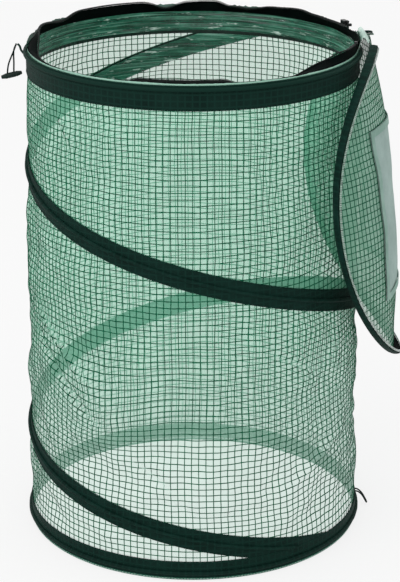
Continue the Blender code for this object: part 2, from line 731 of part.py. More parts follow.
def build_lid():
    """Round film lid with its window, net, frame, skirt and zip."""
    film_edge = LID_RADIUS - SKIRT_THICKNESS - FIT
    sheet = ring_sheet(
        "lid_sheet", window_at(0.0), circle_at(film_edge), LID_RINGS, 0.0, FILM_THICKNESS,
        FILM_GREEN, 0.35, alpha=0.45,
    )
    net_low = FILM_THICKNESS + LAYER_GAP
    net = bmesh.new()
    bmesh.ops.create_grid(net, x_segments=NET_CUTS, y_segments=NET_CUTS, size=1.0)
    half_width = VENT_HALF_WIDTH + VENT_LAP
    half_height = VENT_HALF_HEIGHT + VENT_LAP
    bmesh.ops.scale(net, vec=(half_width, half_height, 1), verts=net.verts)
    bmesh.ops.translate(net, vec=(0, 0, net_low), verts=net.verts)
    net_piece = add_object("lid_vent_net", mesh_from(net, "lid_vent_net"), NET_GREY, 0.6, alpha=0.8)
    solid = net_piece.modifiers.new("Thickness", "SOLIDIFY")
    solid.thickness = NET_THICKNESS
    solid.offset = 1.0
    hem_low = net_low + NET_THICKNESS + LAYER_GAP
    hem = ring_sheet(
        "lid_vent_hem", window_at(0.0), window_at(VENT_LAP), 1, hem_low, hem_low + TAPE_THICKNESS,
        TAPE_GREEN, 0.75,
    )
    skirt = ring_sheet(
        "lid_edge_band", circle_at(LID_RADIUS - SKIRT_THICKNESS), circle_at(LID_RADIUS), 1,
        0.0, SKIRT_DEPTH, TAPE_GREEN, 0.75, hinge_gap=True,
    )
    tape_outer = LID_RADIUS - SKIRT_THICKNESS - FIT
    tape = ring_sheet(
        "lid_zip_tape", circle_at(tape_outer - ZIP_TAPE_THICKNESS), circle_at(tape_outer), 1,
        FILM_THICKNESS + FIT, SKIRT_DEPTH, BLACK, 0.8, hinge_gap=True,
    )
    for piece in (sheet, net_piece, hem, skirt, tape):
        hang(piece)
    build_lid_coil()


def build_lid_coil():
    """Coil along the inside of the skirt's free edge, open at the hinge."""
    radius = LID_RADIUS - SKIRT_THICKNESS - ZIP_TAPE_THICKNESS - 2 * FIT - COIL_WIDTH / 2
    height = SKIRT_DEPTH - COIL_HEIGHT / 2
    shape = bmesh.new()
    corners = [shape.verts.new((x, 0.0, z)) for x, z in coil_profile(radius, height)]
    face = shape.faces.new(corners)
    steps = LID_SIDES - 2 * LID_OPEN_SIDES
    start = -math.pi / 2 + LID_OPEN_SIDES * LID_STEP_ANGLE
    bmesh.ops.rotate(shape, cent=(0, 0, 0), matrix=Matrix.Rotation(start, 3, "Z"), verts=shape.verts)
    bmesh.ops.spin(
        shape, geom=[face] + list(face.verts) + list(face.edges), cent=(0, 0, 0), axis=(0, 0, 1),
        angle=steps * LID_STEP_ANGLE, steps=steps, use_duplicate=False,
    )
    bmesh.ops.recalc_face_normals(shape, faces=shape.faces)
    hang(add_object("lid_zip_coil", mesh_from(shape, "lid_zip_coil"), COIL_WHITE, 0.3))


def build_hinge_strip():
    """Film strip that rises from the ring, folds over and runs to the lid's edge."""
    base_radius = BAND_INNER + TAPE_THICKNESS / 2
    base_height = HOUSE_HEIGHT + FIT
    lid_edge = LID_EDGE_X - STRIP_LID_GAP - STRIP_THICKNESS / 2
    knots = [
        Vector((base_radius, 0, base_height)),
        Vector((base_radius + 0.001, 0, base_height + STRIP_CREST * 0.6)),
        Vector(((base_radius + lid_edge) / 2, 0, base_height + STRIP_CREST)),
        Vector((lid_edge, 0, LID_EDGE_Z - STRIP_LAP)),
    ]
    path = smooth_path(knots, STRIP_ROWS)
    shape = bmesh.new()
    grid = bmesh.ops.create_grid(shape, x_segments=STRIP_COLUMNS, y_segments=STRIP_ROWS, size=1.0)["verts"]
    for vert in grid:
        row = round((vert.co.y + 1) / 2 * STRIP_ROWS)
        azimuth = vert.co.x * STRIP_HALF_ANGLE
        spot = path[row]
        vert.co = polar(spot.x, azimuth, spot.z)
    bmesh.ops.recalc_face_normals(shape, faces=shape.faces)
    piece = add_object("lid_hinge_strip", mesh_from(shape, "lid_hinge_strip"), FILM_GREEN, 0.4, alpha=0.7)
    solid = piece.modifiers.new("Thickness", "SOLIDIFY")
    solid.thickness = STRIP_THICKNESS
    solid.offset = 0.0


def toggle_places():
    """Bar's middle, its direction and the tops of its two cord holes, in the house's frame."""
    middle = polar(HOUSE_RADIUS + TOGGLE_STANDOFF, TOGGLE_AZIMUTH, HOUSE_HEIGHT - TOGGLE_DROP)
    outward = polar(1.0, TOGGLE_AZIMUTH, 0.0)
    along = (outward * math.cos(TOGGLE_TILT) - Vector((0, 0, 1)) * math.sin(TOGGLE_TILT)).normalized()
    lift = Vector((0, 0, TOGGLE_RADIUS / math.cos(TOGGLE_TILT) + FIT))
    tops = [middle + along * side * STRAND_SPACING / 2 + lift for side in (-1, 1)]
    return middle, along, tops


def build_toggle():
    """Barrel toggle and the two strands that it hangs on."""
    middle, along, tops = toggle_places()
    half = TOGGLE_LENGTH / 2
    upper_half = [
        (0.0, half),
        (TOGGLE_END_RADIUS * 0.7, half),
        (TOGGLE_END_RADIUS, half * 0.93),
        (TOGGLE_RADIUS, half * 0.45),
    ]
    lower_half = [(x, -z) for x, z in reversed(upper_half)]
    shape = bmesh.new()
    corners = [shape.verts.new((x, 0, z)) for x, z in upper_half + lower_half]
    for first, second in zip(corners, corners[1:]):
        shape.edges.new((first, second))
    bar = add_object("toggle_bar", mesh_from(shape, "toggle_bar"), TAPE_GREEN, 0.4)
    screw = bar.modifiers.new("Turn", "SCREW")
    screw.axis = "Z"
    screw.angle = 2 * math.pi
    screw.steps = TOGGLE_SIDES
    screw.render_steps = TOGGLE_SIDES
    screw.use_merge_vertices = True
    screw.merge_threshold = 0.00001
    bar.rotation_euler = Vector((0, 0, 1)).rotation_difference(along).to_euler()
    bar.location = middle
    out = polar(1.0, TOGGLE_AZIMUTH, 0.0)
    up = Vector((0, 0, 1))
    side_way = up.cross(out)

    def spot(reach, height):
        return out * (HOUSE_RADIUS + reach) + up * (HOUSE_HEIGHT + height)

    tab = [out * (BAND_OUTER + FIT) + up * TOGGLE_ROOT_HEIGHT]
    tab += [spot(reach, height) for reach, height in TAB_BENDS]
    tab.append(spot(TOGGLE_CREST_REACH - TAB_RADIUS - FIT, TOGGLE_CREST_RISE))
    wire("toggle_tab", smooth_path(tab, TAB_STEPS), TAB_RADIUS, TAPE_GREEN, 0.8, resolution=2)
    for name, top, spread in (("toggle_cord_inner", tops[0], -1), ("toggle_cord_outer", tops[1], 1)):
        sideways = side_way * spread * (CORD_RADIUS + FIT)
        knots = [
            spot(TOGGLE_CREST_REACH, TOGGLE_CREST_RISE) + sideways,
            spot(*STRAND_BEND) + sideways,
            top + up * STRAND_LEAD + sideways * STRAND_GATHER,
            top,
        ]
        wire(name, smooth_path(knots, STRAND_STEPS), CORD_RADIUS, TAPE_GREEN, 0.8, resolution=2)


def build_base_loop():
    """Cord loop sewn to the lower sleeve: two strands that stand out, droop and meet in a round bend."""
    out = polar(1.0, LOOP_AZIMUTH, 0.0)
    along = Vector((0, 0, 1)).cross(out)
    depth = along * math.cos(LOOP_DEPTH_SLOPE) - Vector((0, 0, 1)) * math.sin(LOOP_DEPTH_SLOPE)
    rise = out.cross(depth)
    root = out * (BAND_OUTER * flare_at(LOOP_RISE) + FIT) + Vector((0, 0, LOOP_RISE))
    middle = [root + out * reach + rise * height for reach, height in LOOP_KNOTS]
    strand = smooth_path(middle, LOOP_STRAND_STEPS)
    onward = (strand[-1] - strand[-2]).normalized()
    bend = []
    for step in range(1, LOOP_BEND_STEPS):
        angle = math.pi * step / LOOP_BEND_STEPS
        bend.append(strand[-1] + (depth * math.cos(angle) + onward * math.sin(angle)) * LOOP_BEND_RADIUS)
    going = [point + depth * LOOP_BEND_RADIUS for point in strand]
    coming = [point - depth * LOOP_BEND_RADIUS for point in reversed(strand)]
    wire("base_loop", going + bend + coming, CORD_RADIUS, TAPE_GREEN, 0.8, resolution=2)


def lid_hinge_centre():
    """The point about which the lid swings from hanging at LID_EDGE to lying shut on the zip."""
    hanging = Vector((LID_EDGE_X, LID_EDGE_Z))
    shut = Vector((LID_RADIUS, LID_CLOSED_HEIGHT))
    change = shut - hanging
    across = Vector((-change.y, change.x))
    return (hanging + shut) / 2 + across / (2 * math.tan(LID_SWING / 2))


def stand_on_middle():
    """Move the house so that the middle of its box stands on the origin, cords left aside."""
    bpy.context.view_layer.update()
    graph = bpy.context.evaluated_depsgraph_get()
    low = Vector((1e9, 1e9))
    high = -low
    for piece in PARTS.objects:
        if piece.type == "EMPTY" or piece.name in CORD_PIECES:
            continue
        mesh = piece.evaluated_get(graph).to_mesh()
        for vert in mesh.vertices:
            spot = piece.matrix_world @ vert.co
            low = Vector((min(low.x, spot.x), min(low.y, spot.y)))
            high = Vector((max(high.x, spot.x), max(high.y, spot.y)))
        piece.evaluated_get(graph).to_mesh_clear()
    middle = (low + high) / 2
    HOUSE.location = (-middle.x, -middle.y, 0.0)
    bpy.context.view_layer.update()


def report_places(pull_pivot_radius):
    """Print the joints' places, for whoever mounts or poses the house."""
    shift = HOUSE.location
    hinge = lid_hinge_centre()
    pull = polar(pull_pivot_radius, SLIDER_AZIMUTH, COIL_CENTRE_HEIGHT) + shift
    toggle = polar(TOGGLE_CREST_RADIUS, TOGGLE_AZIMUTH, TOGGLE_CREST_HEIGHT) + shift
    print("house axis", [round(value, 5) for value in shift])
    print("lid hinge", round(hinge.x + shift.x, 5), round(shift.y, 5), round(hinge.y, 5),
          "swing", round(math.degrees(LID_SWING), 2))
    print("pull pivot", [round(value, 5) for value in pull])
    print("toggle crest", [round(value, 5) for value in toggle])


build_foot()
build_wall()
build_helix()
build_top_ring()
PULL_PIVOT_RADIUS = build_slider()
build_pull(PULL_PIVOT_RADIUS)
build_lid()
build_hinge_strip()
build_toggle()
build_base_loop()
stand_on_middle()
report_places(PULL_PIVOT_RADIUS)
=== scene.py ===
"""Looks of a pop-up mini greenhouse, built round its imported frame.

Lengths are in metres, Z points up and the house stands on its hem tape at Z = 0.
"""

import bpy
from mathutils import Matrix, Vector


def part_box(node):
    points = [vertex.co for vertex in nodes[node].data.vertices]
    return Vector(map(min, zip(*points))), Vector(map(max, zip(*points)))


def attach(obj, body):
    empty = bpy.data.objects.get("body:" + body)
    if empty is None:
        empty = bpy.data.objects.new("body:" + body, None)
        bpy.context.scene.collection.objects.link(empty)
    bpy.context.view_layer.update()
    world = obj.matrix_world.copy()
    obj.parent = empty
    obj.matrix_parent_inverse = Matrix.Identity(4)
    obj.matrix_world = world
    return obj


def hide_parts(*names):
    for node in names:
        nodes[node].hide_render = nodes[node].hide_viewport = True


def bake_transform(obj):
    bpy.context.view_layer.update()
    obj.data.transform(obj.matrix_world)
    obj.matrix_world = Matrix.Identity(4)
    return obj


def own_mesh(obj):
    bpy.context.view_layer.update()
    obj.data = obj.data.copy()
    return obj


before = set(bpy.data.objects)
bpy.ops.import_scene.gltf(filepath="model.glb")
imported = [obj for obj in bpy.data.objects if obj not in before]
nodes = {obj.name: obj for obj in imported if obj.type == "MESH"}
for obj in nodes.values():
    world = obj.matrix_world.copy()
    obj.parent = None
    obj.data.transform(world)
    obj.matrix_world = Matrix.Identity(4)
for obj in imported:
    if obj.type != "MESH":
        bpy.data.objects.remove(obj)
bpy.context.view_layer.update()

import math

import bmesh
import bpy
from mathutils import Matrix, Vector, noise

scene = bpy.context.scene


# Studio: the house stands on a white floor and is seen from just above its rim.
# An even pale sky and one large soft lamp at the upper left front light it,
# and the floor shows white to the camera while it keeps the shadow.
ring_low, ring_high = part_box("top_band")
AXIS_X = (ring_low.x + ring_high.x) / 2
HOUSE_RADIUS = (ring_high.x - ring_low.x) / 2
HOUSE_HEIGHT = ring_high.z
CAMERA_SIDE = 0.0094
CAMERA_BACK = 2.7321
CAMERA_HEIGHT = 1.3190
CAMERA_PITCH = math.radians(70.164)
CAMERA_LENS = 126.89
SKY_STRENGTH = 0.79
LAMP_PLACE = Vector((-1.7, -2.3, 2.7))
LAMP_SIZE = 4.4
LAMP_POWER = 44
FLOOR_SIZE = 9.0
FLOOR_DROP = 0.0004
FLOOR_GREY = 0.86
FLOOR_WHITE = 0.80

scene.view_settings.view_transform = "Standard"


def add_object(name, data):
    """A new object in the scene, at the origin."""
    item = bpy.data.objects.new(name, data)
    scene.collection.objects.link(item)
    return item


camera_data = bpy.data.cameras.new("camera")
camera_data.lens = CAMERA_LENS
camera_data.clip_end = 100
camera = add_object("camera", camera_data)
camera.location = (AXIS_X + CAMERA_SIDE, -CAMERA_BACK, CAMERA_HEIGHT)
camera.rotation_euler = (CAMERA_PITCH, 0, 0)
scene.camera = camera

lamp_data = bpy.data.lights.new("soft_lamp", "AREA")
lamp_data.size = LAMP_SIZE
lamp_data.energy = LAMP_POWER
lamp = add_object("soft_lamp", lamp_data)
lamp.location = LAMP_PLACE
lamp.rotation_euler = (Vector((0, 0, HOUSE_HEIGHT / 2)) - LAMP_PLACE).to_track_quat("-Z", "Y").to_euler()


def add_node(tree, kind, values=(), **settings):
    """A new node with its settings, and a value or another node's output for sockets by name or number."""
    node = tree.nodes.new(kind)
    for name, value in settings.items():
        setattr(node, name, value)
    for name, value in dict(values).items():
        if isinstance(value, bpy.types.NodeSocket):
            tree.links.new(value, node.inputs[name])
        else:
            node.inputs[name].default_value = value
    return node


def maths(tree, operation, first, second=None, third=None):
    """One sum of sockets or plain numbers."""
    node = add_node(tree, "ShaderNodeMath", operation=operation)
    for slot, value in zip(node.inputs, (first, second, third)):
        if isinstance(value, (int, float)):
            slot.default_value = value
        elif value is not None:
            tree.links.new(value, slot)
    return node.outputs[0]


def seen_directly(tree):
    """1 for what the camera, a gloss or a clear surface looks at, and 0 for light that falls on things."""
    path = add_node(tree, "ShaderNodeLightPath")
    seen = maths(tree, "MAXIMUM", path.outputs["Is Camera Ray"], path.outputs["Is Glossy Ray"])
    return maths(tree, "MAXIMUM", seen, path.outputs["Is Transmission Ray"])


world = bpy.data.worlds.new("studio")
scene.world = world
world.use_nodes = True
tree = world.node_tree
background = tree.nodes["Background"]
background.inputs["Color"].default_value = (1, 1, 1, 1)
tree.links.new(
    maths(tree, "MULTIPLY_ADD", seen_directly(tree), 1 - SKY_STRENGTH, SKY_STRENGTH), background.inputs["Strength"]
)

floor_shape = bmesh.new()
bmesh.ops.create_grid(floor_shape, x_segments=1, y_segments=1, size=FLOOR_SIZE)
bmesh.ops.translate(floor_shape, vec=(0, 0, -FLOOR_DROP), verts=floor_shape.verts)
floor_mesh = bpy.data.meshes.new("floor")
floor_shape.to_mesh(floor_mesh)
floor_shape.free()
floor = add_object("floor", floor_mesh)
floor_paint = bpy.data.materials.new("floor_white")
floor_paint.use_nodes = True
tree = floor_paint.node_tree
shader = tree.nodes["Principled BSDF"]
for name, value in (
    ("Base Color", (FLOOR_GREY, FLOOR_GREY, FLOOR_GREY, 1)), ("Roughness", 0.9), ("Specular IOR Level", 0.0),
):
    shader.inputs[name].default_value = value
glow = add_node(tree, "ShaderNodeEmission", {"Strength": 1.0})
mix = add_node(tree, "ShaderNodeMixShader", {
    0: maths(tree, "MULTIPLY", seen_directly(tree), FLOOR_WHITE), 1: shader.outputs["BSDF"],
    2: glow.outputs["Emission"],
})
tree.links.new(mix.outputs["Shader"], tree.nodes["Material Output"].inputs["Surface"])
floor_mesh.materials.append(floor_paint)


# Toggle cord and foot loop: soft braided polyester cord, 2.2 mm thick. The toggle cord hangs in a loop
# from the tab on the ring and passes through the toggle's two holes. The foot loop is sewn on edge
# to the lower sleeve, stands out and droops to the floor.
CORD_DIAMETER = 0.0022
BRAID_ROWS = 58
BRAID_STRANDS = 4
TOGGLE_TILT = math.radians(14)
TOGGLE_MIDDLE = Vector((AXIS_X - 0.2475, 0, HOUSE_HEIGHT - 0.041))
STRAND_HALF_SPACING = 0.0045
TURN_RISE = 0.0018
TURN_STEPS = 12
STRAND_KNOTS = ((0.2400, 1, 0.0020), (0.2438, 1, -0.0080))
STRAND_SIDE = 0.0014
STRAND_LEADS = ((0.2440, 0.4, -0.0240), (0.2509, 0.4, -0.0250))
LOOP_AZIMUTH = math.radians(1)
LOOP_SKIN = 0.23637
LOOP_RISE = 0.022
LOOP_KNOTS = ((0.0, 0.0), (0.0050, -0.0010), (0.0100, -0.0050), (0.0138, -0.0105), (0.0165, -0.0155))
LOOP_BEND_RADIUS = 0.0046
LOOP_STEPS = 24
LOOP_DEPTH_SLOPE = math.radians(2)


def srgb(red, green, blue):
    """Linear colour of an 8-bit screen colour."""
    shares = [value / 255 for value in (red, green, blue)]
    return tuple(s / 12.92 if s <= 0.04045 else ((s + 0.055) / 1.055) ** 2.4 for s in shares) + (1.0,)


def new_group(name, inputs, outputs):
    """A shader group with named sockets, and its inner nodes for what comes in and goes out."""
    group = bpy.data.node_groups.new(name, "ShaderNodeTree")
    for label, kind in inputs:
        group.interface.new_socket(label, in_out="INPUT", socket_type="NodeSocket" + kind)
    for label, kind in outputs:
        group.interface.new_socket(label, in_out="OUTPUT", socket_type="NodeSocket" + kind)
    return group, group.nodes.new("NodeGroupInput"), group.nodes.new("NodeGroupOutput")


def mottle_group():
    """Uneven finish: two colours in soft patches, fine grain, and gloss that varies with the grain."""
    group, given, result = new_group(
        "mottle",
        [("Vector", "Vector"), ("Colour", "Color"), ("Shade", "Color"), ("Patch Scale", "Float"),
         ("Grain Scale", "Float"), ("Roughness", "Float"), ("Spread", "Float")],
        [("Colour", "Color"), ("Roughness", "Float"), ("Height", "Float")],
    )
    place = given.outputs["Vector"]
    patches = add_node(group, "ShaderNodeTexNoise", {
        "Vector": place, "Scale": given.outputs["Patch Scale"], "Detail": 4.0, "Roughness": 0.6,
    })
    grain = add_node(group, "ShaderNodeTexNoise", {
        "Vector": place, "Scale": given.outputs["Grain Scale"], "Detail": 3.0, "Roughness": 0.65,
    })
    both = maths(group, "ADD", patches.outputs["Fac"], maths(group, "MULTIPLY", grain.outputs["Fac"], 0.35))
    share = add_node(
        group, "ShaderNodeMapRange", {"Value": both, "From Min": 0.42, "From Max": 0.92},
        interpolation_type="SMOOTHSTEP",
    )
    blend = add_node(group, "ShaderNodeMix", {
        "Factor": share.outputs["Result"], "A": given.outputs["Colour"], "B": given.outputs["Shade"],
    }, data_type="RGBA")
    group.links.new(blend.outputs["Result"], result.inputs["Colour"])
    swing = maths(group, "SUBTRACT", grain.outputs["Fac"], 0.5)
    rough = maths(group, "MULTIPLY_ADD", swing, given.outputs["Spread"], given.outputs["Roughness"])
    group.links.new(rough, result.inputs["Roughness"])
    group.links.new(grain.outputs["Fac"], result.inputs["Height"])
    return group


MOTTLE = mottle_group()


def place_on(tree, coords="UV"):
    """The place on the surface, in the piece's own cloth coordinates or in the object's."""
    return add_node(tree, "ShaderNodeTexCoord").outputs[coords]


def new_material(
    name, colour, shade, roughness, spread, patches, grain, bump=(0.3, 0.0003), coords="Object", specular=0.5,
    **sockets,
):
    """A material with the mottled finish, and its grain as a bump of some strength and distance."""
    material = bpy.data.materials.new(name)
    material.use_nodes = True
    tree = material.node_tree
    shader = tree.nodes["Principled BSDF"]
    shader.inputs["Specular IOR Level"].default_value = specular
    for socket, value in sockets.items():
        shader.inputs[socket].default_value = value
    finish = add_node(tree, "ShaderNodeGroup", {
        "Vector": place_on(tree, coords), "Colour": srgb(*colour), "Shade": srgb(*shade),
        "Patch Scale": patches, "Grain Scale": grain, "Roughness": roughness, "Spread": spread,
    }, node_tree=MOTTLE)
    tree.links.new(finish.outputs["Colour"], shader.inputs["Base Color"])
    tree.links.new(finish.outputs["Roughness"], shader.inputs["Roughness"])
    relief = add_node(tree, "ShaderNodeBump", {
        "Strength": bump[0], "Distance": bump[1], "Height": finish.outputs["Height"],
    })
    tree.links.new(relief.outputs["Normal"], shader.inputs["Normal"])
    return material


def feed_bump(material, height):
    """Give a material's bump another height than its grain."""
    relief = next(node for node in material.node_tree.nodes if node.type == "BUMP")
    material.node_tree.links.new(height, relief.inputs["Height"])


def braid_height(tree, rows, around):
    """Crossing strands of a braid, in the coordinates of the cord's own surface."""
    split = add_node(tree, "ShaderNodeSeparateXYZ", {"Vector": place_on(tree)})
    along = maths(tree, "MULTIPLY", split.outputs["X"], rows * 2 * math.pi)
    round_it = maths(tree, "MULTIPLY", split.outputs["Y"], around * 2 * math.pi)
    left = maths(tree, "SINE", maths(tree, "ADD", along, round_it))
    right = maths(tree, "SINE", maths(tree, "SUBTRACT", along, round_it))
    return maths(tree, "MAXIMUM", left, right)


def smooth_path(knots, count):
    """Points along a centripetal Catmull-Rom curve through a few knots, evenly numbered per stretch."""
    knots = [Vector(knot) for knot in knots]
    ends = [knots[0] * 2 - knots[1]] + knots + [knots[-1] * 2 - knots[-2]]
    path = []
    stretches = len(knots) - 1
    for step in range(count + 1):
        place = min(step * stretches / count, stretches - 1e-9)
        index = int(place)
        t = place - index
        a, b, c, d = ends[index:index + 4]
        path.append(0.5 * ((2 * b) + (c - a) * t + (2 * a - 5 * b + 4 * c - d) * t * t
                           + (3 * b - a - 3 * c + d) * t * t * t))
    return path


def tube(name, path, radius, material, sides=4):
    """A round tube along a path, with closed ends, its surface coordinates and its own mesh."""
    curve = bpy.data.curves.new(name, "CURVE")
    curve.dimensions = "3D"
    curve.bevel_depth = radius
    curve.bevel_resolution = sides
    curve.use_fill_caps = True
    spline = curve.splines.new("POLY")
    spline.points.add(len(path) - 1)
    for slot, point in zip(spline.points, path):
        slot.co = (*point, 1.0)
    holder = add_object(name + "_curve", curve)
    bpy.context.view_layer.update()
    mesh = bpy.data.meshes.new_from_object(holder.evaluated_get(bpy.context.evaluated_depsgraph_get()))
    bpy.data.objects.remove(holder)
    shape = bmesh.new()
    shape.from_mesh(mesh)
    bmesh.ops.remove_doubles(shape, verts=shape.verts, dist=1e-6)
    bmesh.ops.recalc_face_normals(shape, faces=shape.faces)
    shape.to_mesh(mesh)
    shape.free()
    mesh.name = name
    mesh.materials.clear()
    mesh.materials.append(material)
    mesh.shade_smooth()
    mesh.set_sharp_from_angle(angle=math.radians(50))
    return add_object(name, mesh)


def seat(piece, body, slot, *stood_for):
    """Attach a piece to its body and hide the CAD nodes that it stands for; the slot of its finish is not used."""
    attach(piece, body)
    if stood_for:
        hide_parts(*stood_for)


cord_braid = new_material(
    "cord_braid", (12, 40, 33), (8, 26, 21), 0.8, 0.2, 300, 1500, (0.9, 0.0004), "UV", specular=0.15,
)
feed_bump(cord_braid, braid_height(cord_braid.node_tree, BRAID_ROWS, BRAID_STRANDS))

bar_along = Vector((-math.cos(TOGGLE_TILT), 0, -math.sin(TOGGLE_TILT)))
bar_up = Vector((-math.sin(TOGGLE_TILT), 0, math.cos(TOGGLE_TILT)))
turn_centre = TOGGLE_MIDDLE + bar_up * TURN_RISE


def strand_knots(side, lead):
    """Knots of one strand, from the crest of the tab down to above the barrel."""
    return [
        Vector((AXIS_X - reach, side * share * STRAND_SIDE, HOUSE_HEIGHT + height))
        for reach, share, height in STRAND_KNOTS + (lead,)
    ]


cord_turn = []
for step in range(TURN_STEPS + 1):
    angle = math.pi * step / TURN_STEPS
    cord_turn.append(turn_centre - (bar_along * math.cos(angle) + bar_up * math.sin(angle)) * STRAND_HALF_SPACING)
entry = bar_up * 2 * STRAND_HALF_SPACING / 3
toggle_knots = strand_knots(1, STRAND_LEADS[0]) + [cord_turn[0] + entry] + cord_turn
toggle_knots += [cord_turn[-1] + entry] + strand_knots(-1, STRAND_LEADS[1])[::-1]
toggle_route = smooth_path(toggle_knots, 6 * (len(toggle_knots) - 1))
toggle_cord = tube("toggle_cord", toggle_route, CORD_DIAMETER / 2, cord_braid)
seat(toggle_cord, "toggle", "cord", "toggle_cord_inner", "toggle_cord_outer")

out = Vector((math.cos(LOOP_AZIMUTH), math.sin(LOOP_AZIMUTH), 0))
up = Vector((0, 0, 1))
depth = up.cross(out) * math.cos(LOOP_DEPTH_SLOPE) - up * math.sin(LOOP_DEPTH_SLOPE)
rise = out.cross(depth)
loop_root = Vector((AXIS_X, 0, LOOP_RISE)) + out * (LOOP_SKIN - CORD_DIAMETER / 4)
strand = smooth_path([loop_root + out * reach + rise * height for reach, height in LOOP_KNOTS], 2 * LOOP_STEPS)
onward = (strand[-1] - strand[-2]).normalized()
loop_route = [point + depth * LOOP_BEND_RADIUS for point in strand]
for step in range(1, LOOP_STEPS):
    angle = math.pi * step / LOOP_STEPS
    loop_route.append(strand[-1] + (depth * math.cos(angle) + onward * math.sin(angle)) * LOOP_BEND_RADIUS)
loop_route += [point - depth * LOOP_BEND_RADIUS for point in reversed(strand)]
foot_loop = tube("foot_loop", loop_route, CORD_DIAMETER / 2, cord_braid)
seat(foot_loop, "base", "cord", "base_loop")


# Toggle and its tab: a moulded barrel with turned ends and two grip grooves, hung on the cord.
# The tab is a short rolled end of sleeve tape, stitched to the ring, that the cord is threaded through.
TOGGLE_LENGTH = 0.029
TOGGLE_RADIUS = 0.0038
TOGGLE_END_RADIUS = 0.0026
GROOVE_DEPTH = 0.00035
GROOVE_WIDTH = 0.0011
TOGGLE_STEPS = 28


def new_piece(name, shape, material, smooth_angle=40, turned=False):
    """Turn a shape into a smooth-shaded object, with its faces turned outwards where they aren't yet."""
    if not turned:
        bmesh.ops.recalc_face_normals(shape, faces=shape.faces)
    mesh = bpy.data.meshes.new(name)
    shape.to_mesh(mesh)
    shape.free()
    mesh.materials.append(material)
    mesh.shade_smooth()
    mesh.set_sharp_from_angle(angle=math.radians(smooth_angle))
    return add_object(name, mesh)


def line_of(points, closed=False, cuts=0, shape=None):
    """A chain of edges in the XZ plane from (x, z) pairs, cut finer, as a new shape or added to one."""
    if shape is None:
        shape = bmesh.new()
    corners = [shape.verts.new((x, 0, z)) for x, z in points]
    pairs = list(zip(corners, corners[1:]))
    if closed:
        pairs.append((corners[-1], corners[0]))
    for pair in pairs:
        shape.edges.new(pair)
    if cuts:
        bmesh.ops.subdivide_edges(shape, edges=shape.edges, cuts=cuts)
    return shape


def everything(shape):
    """All of a shape's geometry."""
    return list(shape.verts) + list(shape.edges) + list(shape.faces)


def turn_by(shape, angle):
    """Turn a shape about the upright axis."""
    bmesh.ops.rotate(shape, matrix=Matrix.Rotation(angle, 3, "Z"), verts=shape.verts)


def spin_all(shape, steps, turn=2 * math.pi, climb=0.0, copies=False):
    """Spin all of a shape about the upright axis, as a surface or as separate copies."""
    full = turn == 2 * math.pi and climb == 0.0
    if copies and full:
        turn *= (steps - 1) / steps
        steps -= 1
    bmesh.ops.spin(
        shape, geom=everything(shape), cent=(0, 0, 0), axis=(0, 0, 1), dvec=(0, 0, climb / steps), angle=turn,
        steps=steps, use_merge=full and not copies, use_duplicate=copies,
    )


def barrel_outline():
    """Half section of the barrel from one end to the other, with its turned ends and two grip grooves."""
    half = TOGGLE_LENGTH / 2
    outline = [(0.0, half), (TOGGLE_END_RADIUS * 0.62, half), (TOGGLE_END_RADIUS * 0.92, half * 0.97),
               (TOGGLE_END_RADIUS, half * 0.90), (TOGGLE_RADIUS * 0.86, half * 0.66), (TOGGLE_RADIUS, half * 0.50)]
    grip = half * 0.40
    for side in (1, -1):
        outline += [(TOGGLE_RADIUS, side * grip + GROOVE_WIDTH), (TOGGLE_RADIUS - GROOVE_DEPTH, side * grip),
                    (TOGGLE_RADIUS, side * grip - GROOVE_WIDTH)]
    return outline + [(radius, -height) for radius, height in outline[5::-1]]


toggle_plastic = new_material(
    "toggle_plastic", (10, 36, 29), (5, 24, 19), 0.42, 0.12, 90, 1400, (0.15, 0.0001), specular=0.2,
)
shape = line_of(barrel_outline())
spin_all(shape, TOGGLE_STEPS)
bmesh.ops.remove_doubles(shape, verts=shape.verts, dist=1e-6)
turn = Vector((0, 0, 1)).rotation_difference(bar_along).to_matrix().to_4x4()
bmesh.ops.transform(shape, matrix=Matrix.Translation(TOGGLE_MIDDLE) @ turn, verts=shape.verts)
toggle = new_piece("toggle_barrel", shape, toggle_plastic, 30)
seat(toggle, "toggle", "toggle_plastic", "toggle_bar")


# Film wall: milky mint polythene, welded into a tube with a square scrim of green threads inside it.
# It is held smooth by the sleeves and hangs in soft ripples between them. The threads are real bars,
# rings and uprights, in the same ripples as the film.
WALL_RADIUS = 0.2246
FLARE = 0.045
FLARE_TOP = ring_low.z
HELIX_OVER_RING = 0.0625
HELIX_FALL = 0.2273
HELIX_EASING = 0.00859
HELIX_HALF_WIDTH = 0.0155
FILM_LOW = 0.0031
FOOT_SLEEVE_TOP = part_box("bottom_band")[1].z
RIPPLE_REACH = 0.034
RIPPLE_DEEP = 0.0060
RIPPLE_FINE = 0.0022
THREAD_WANDER = 0.0030
THREAD_WIDTH = 0.00105
THREAD_DEPTH = 0.0006
RING_THREADS = 80
UPRIGHT_THREADS = 152
FILM_ROWS = 120
FILM_COLUMNS = 288
# Heights between which the film pales with painted light
PAINTED_LIGHT_HIGH = 0.36
PAINTED_LIGHT_LOW = 0.10
# Creases: azimuth and height of one end, of the other end, width, and how far they stand out
FOLDS = (
    (194, 0.322, 242, 0.226, 0.013, -0.009),
    (199, 0.350, 238, 0.268, 0.010, 0.007),
    (216, 0.645, 229, 0.570, 0.012, 0.006),
    (200, 0.150, 226, 0.070, 0.014, 0.006),
    (292, 0.330, 322, 0.262, 0.014, -0.005),
    (318, 0.560, 338, 0.470, 0.014, 0.006),
    (246, 0.180, 268, 0.120, 0.012, -0.005),
    (300, 0.110, 330, 0.160, 0.014, 0.006),
    (40, 0.420, 75, 0.500, 0.016, 0.006),
    (130, 0.250, 165, 0.180, 0.016, -0.007),
)
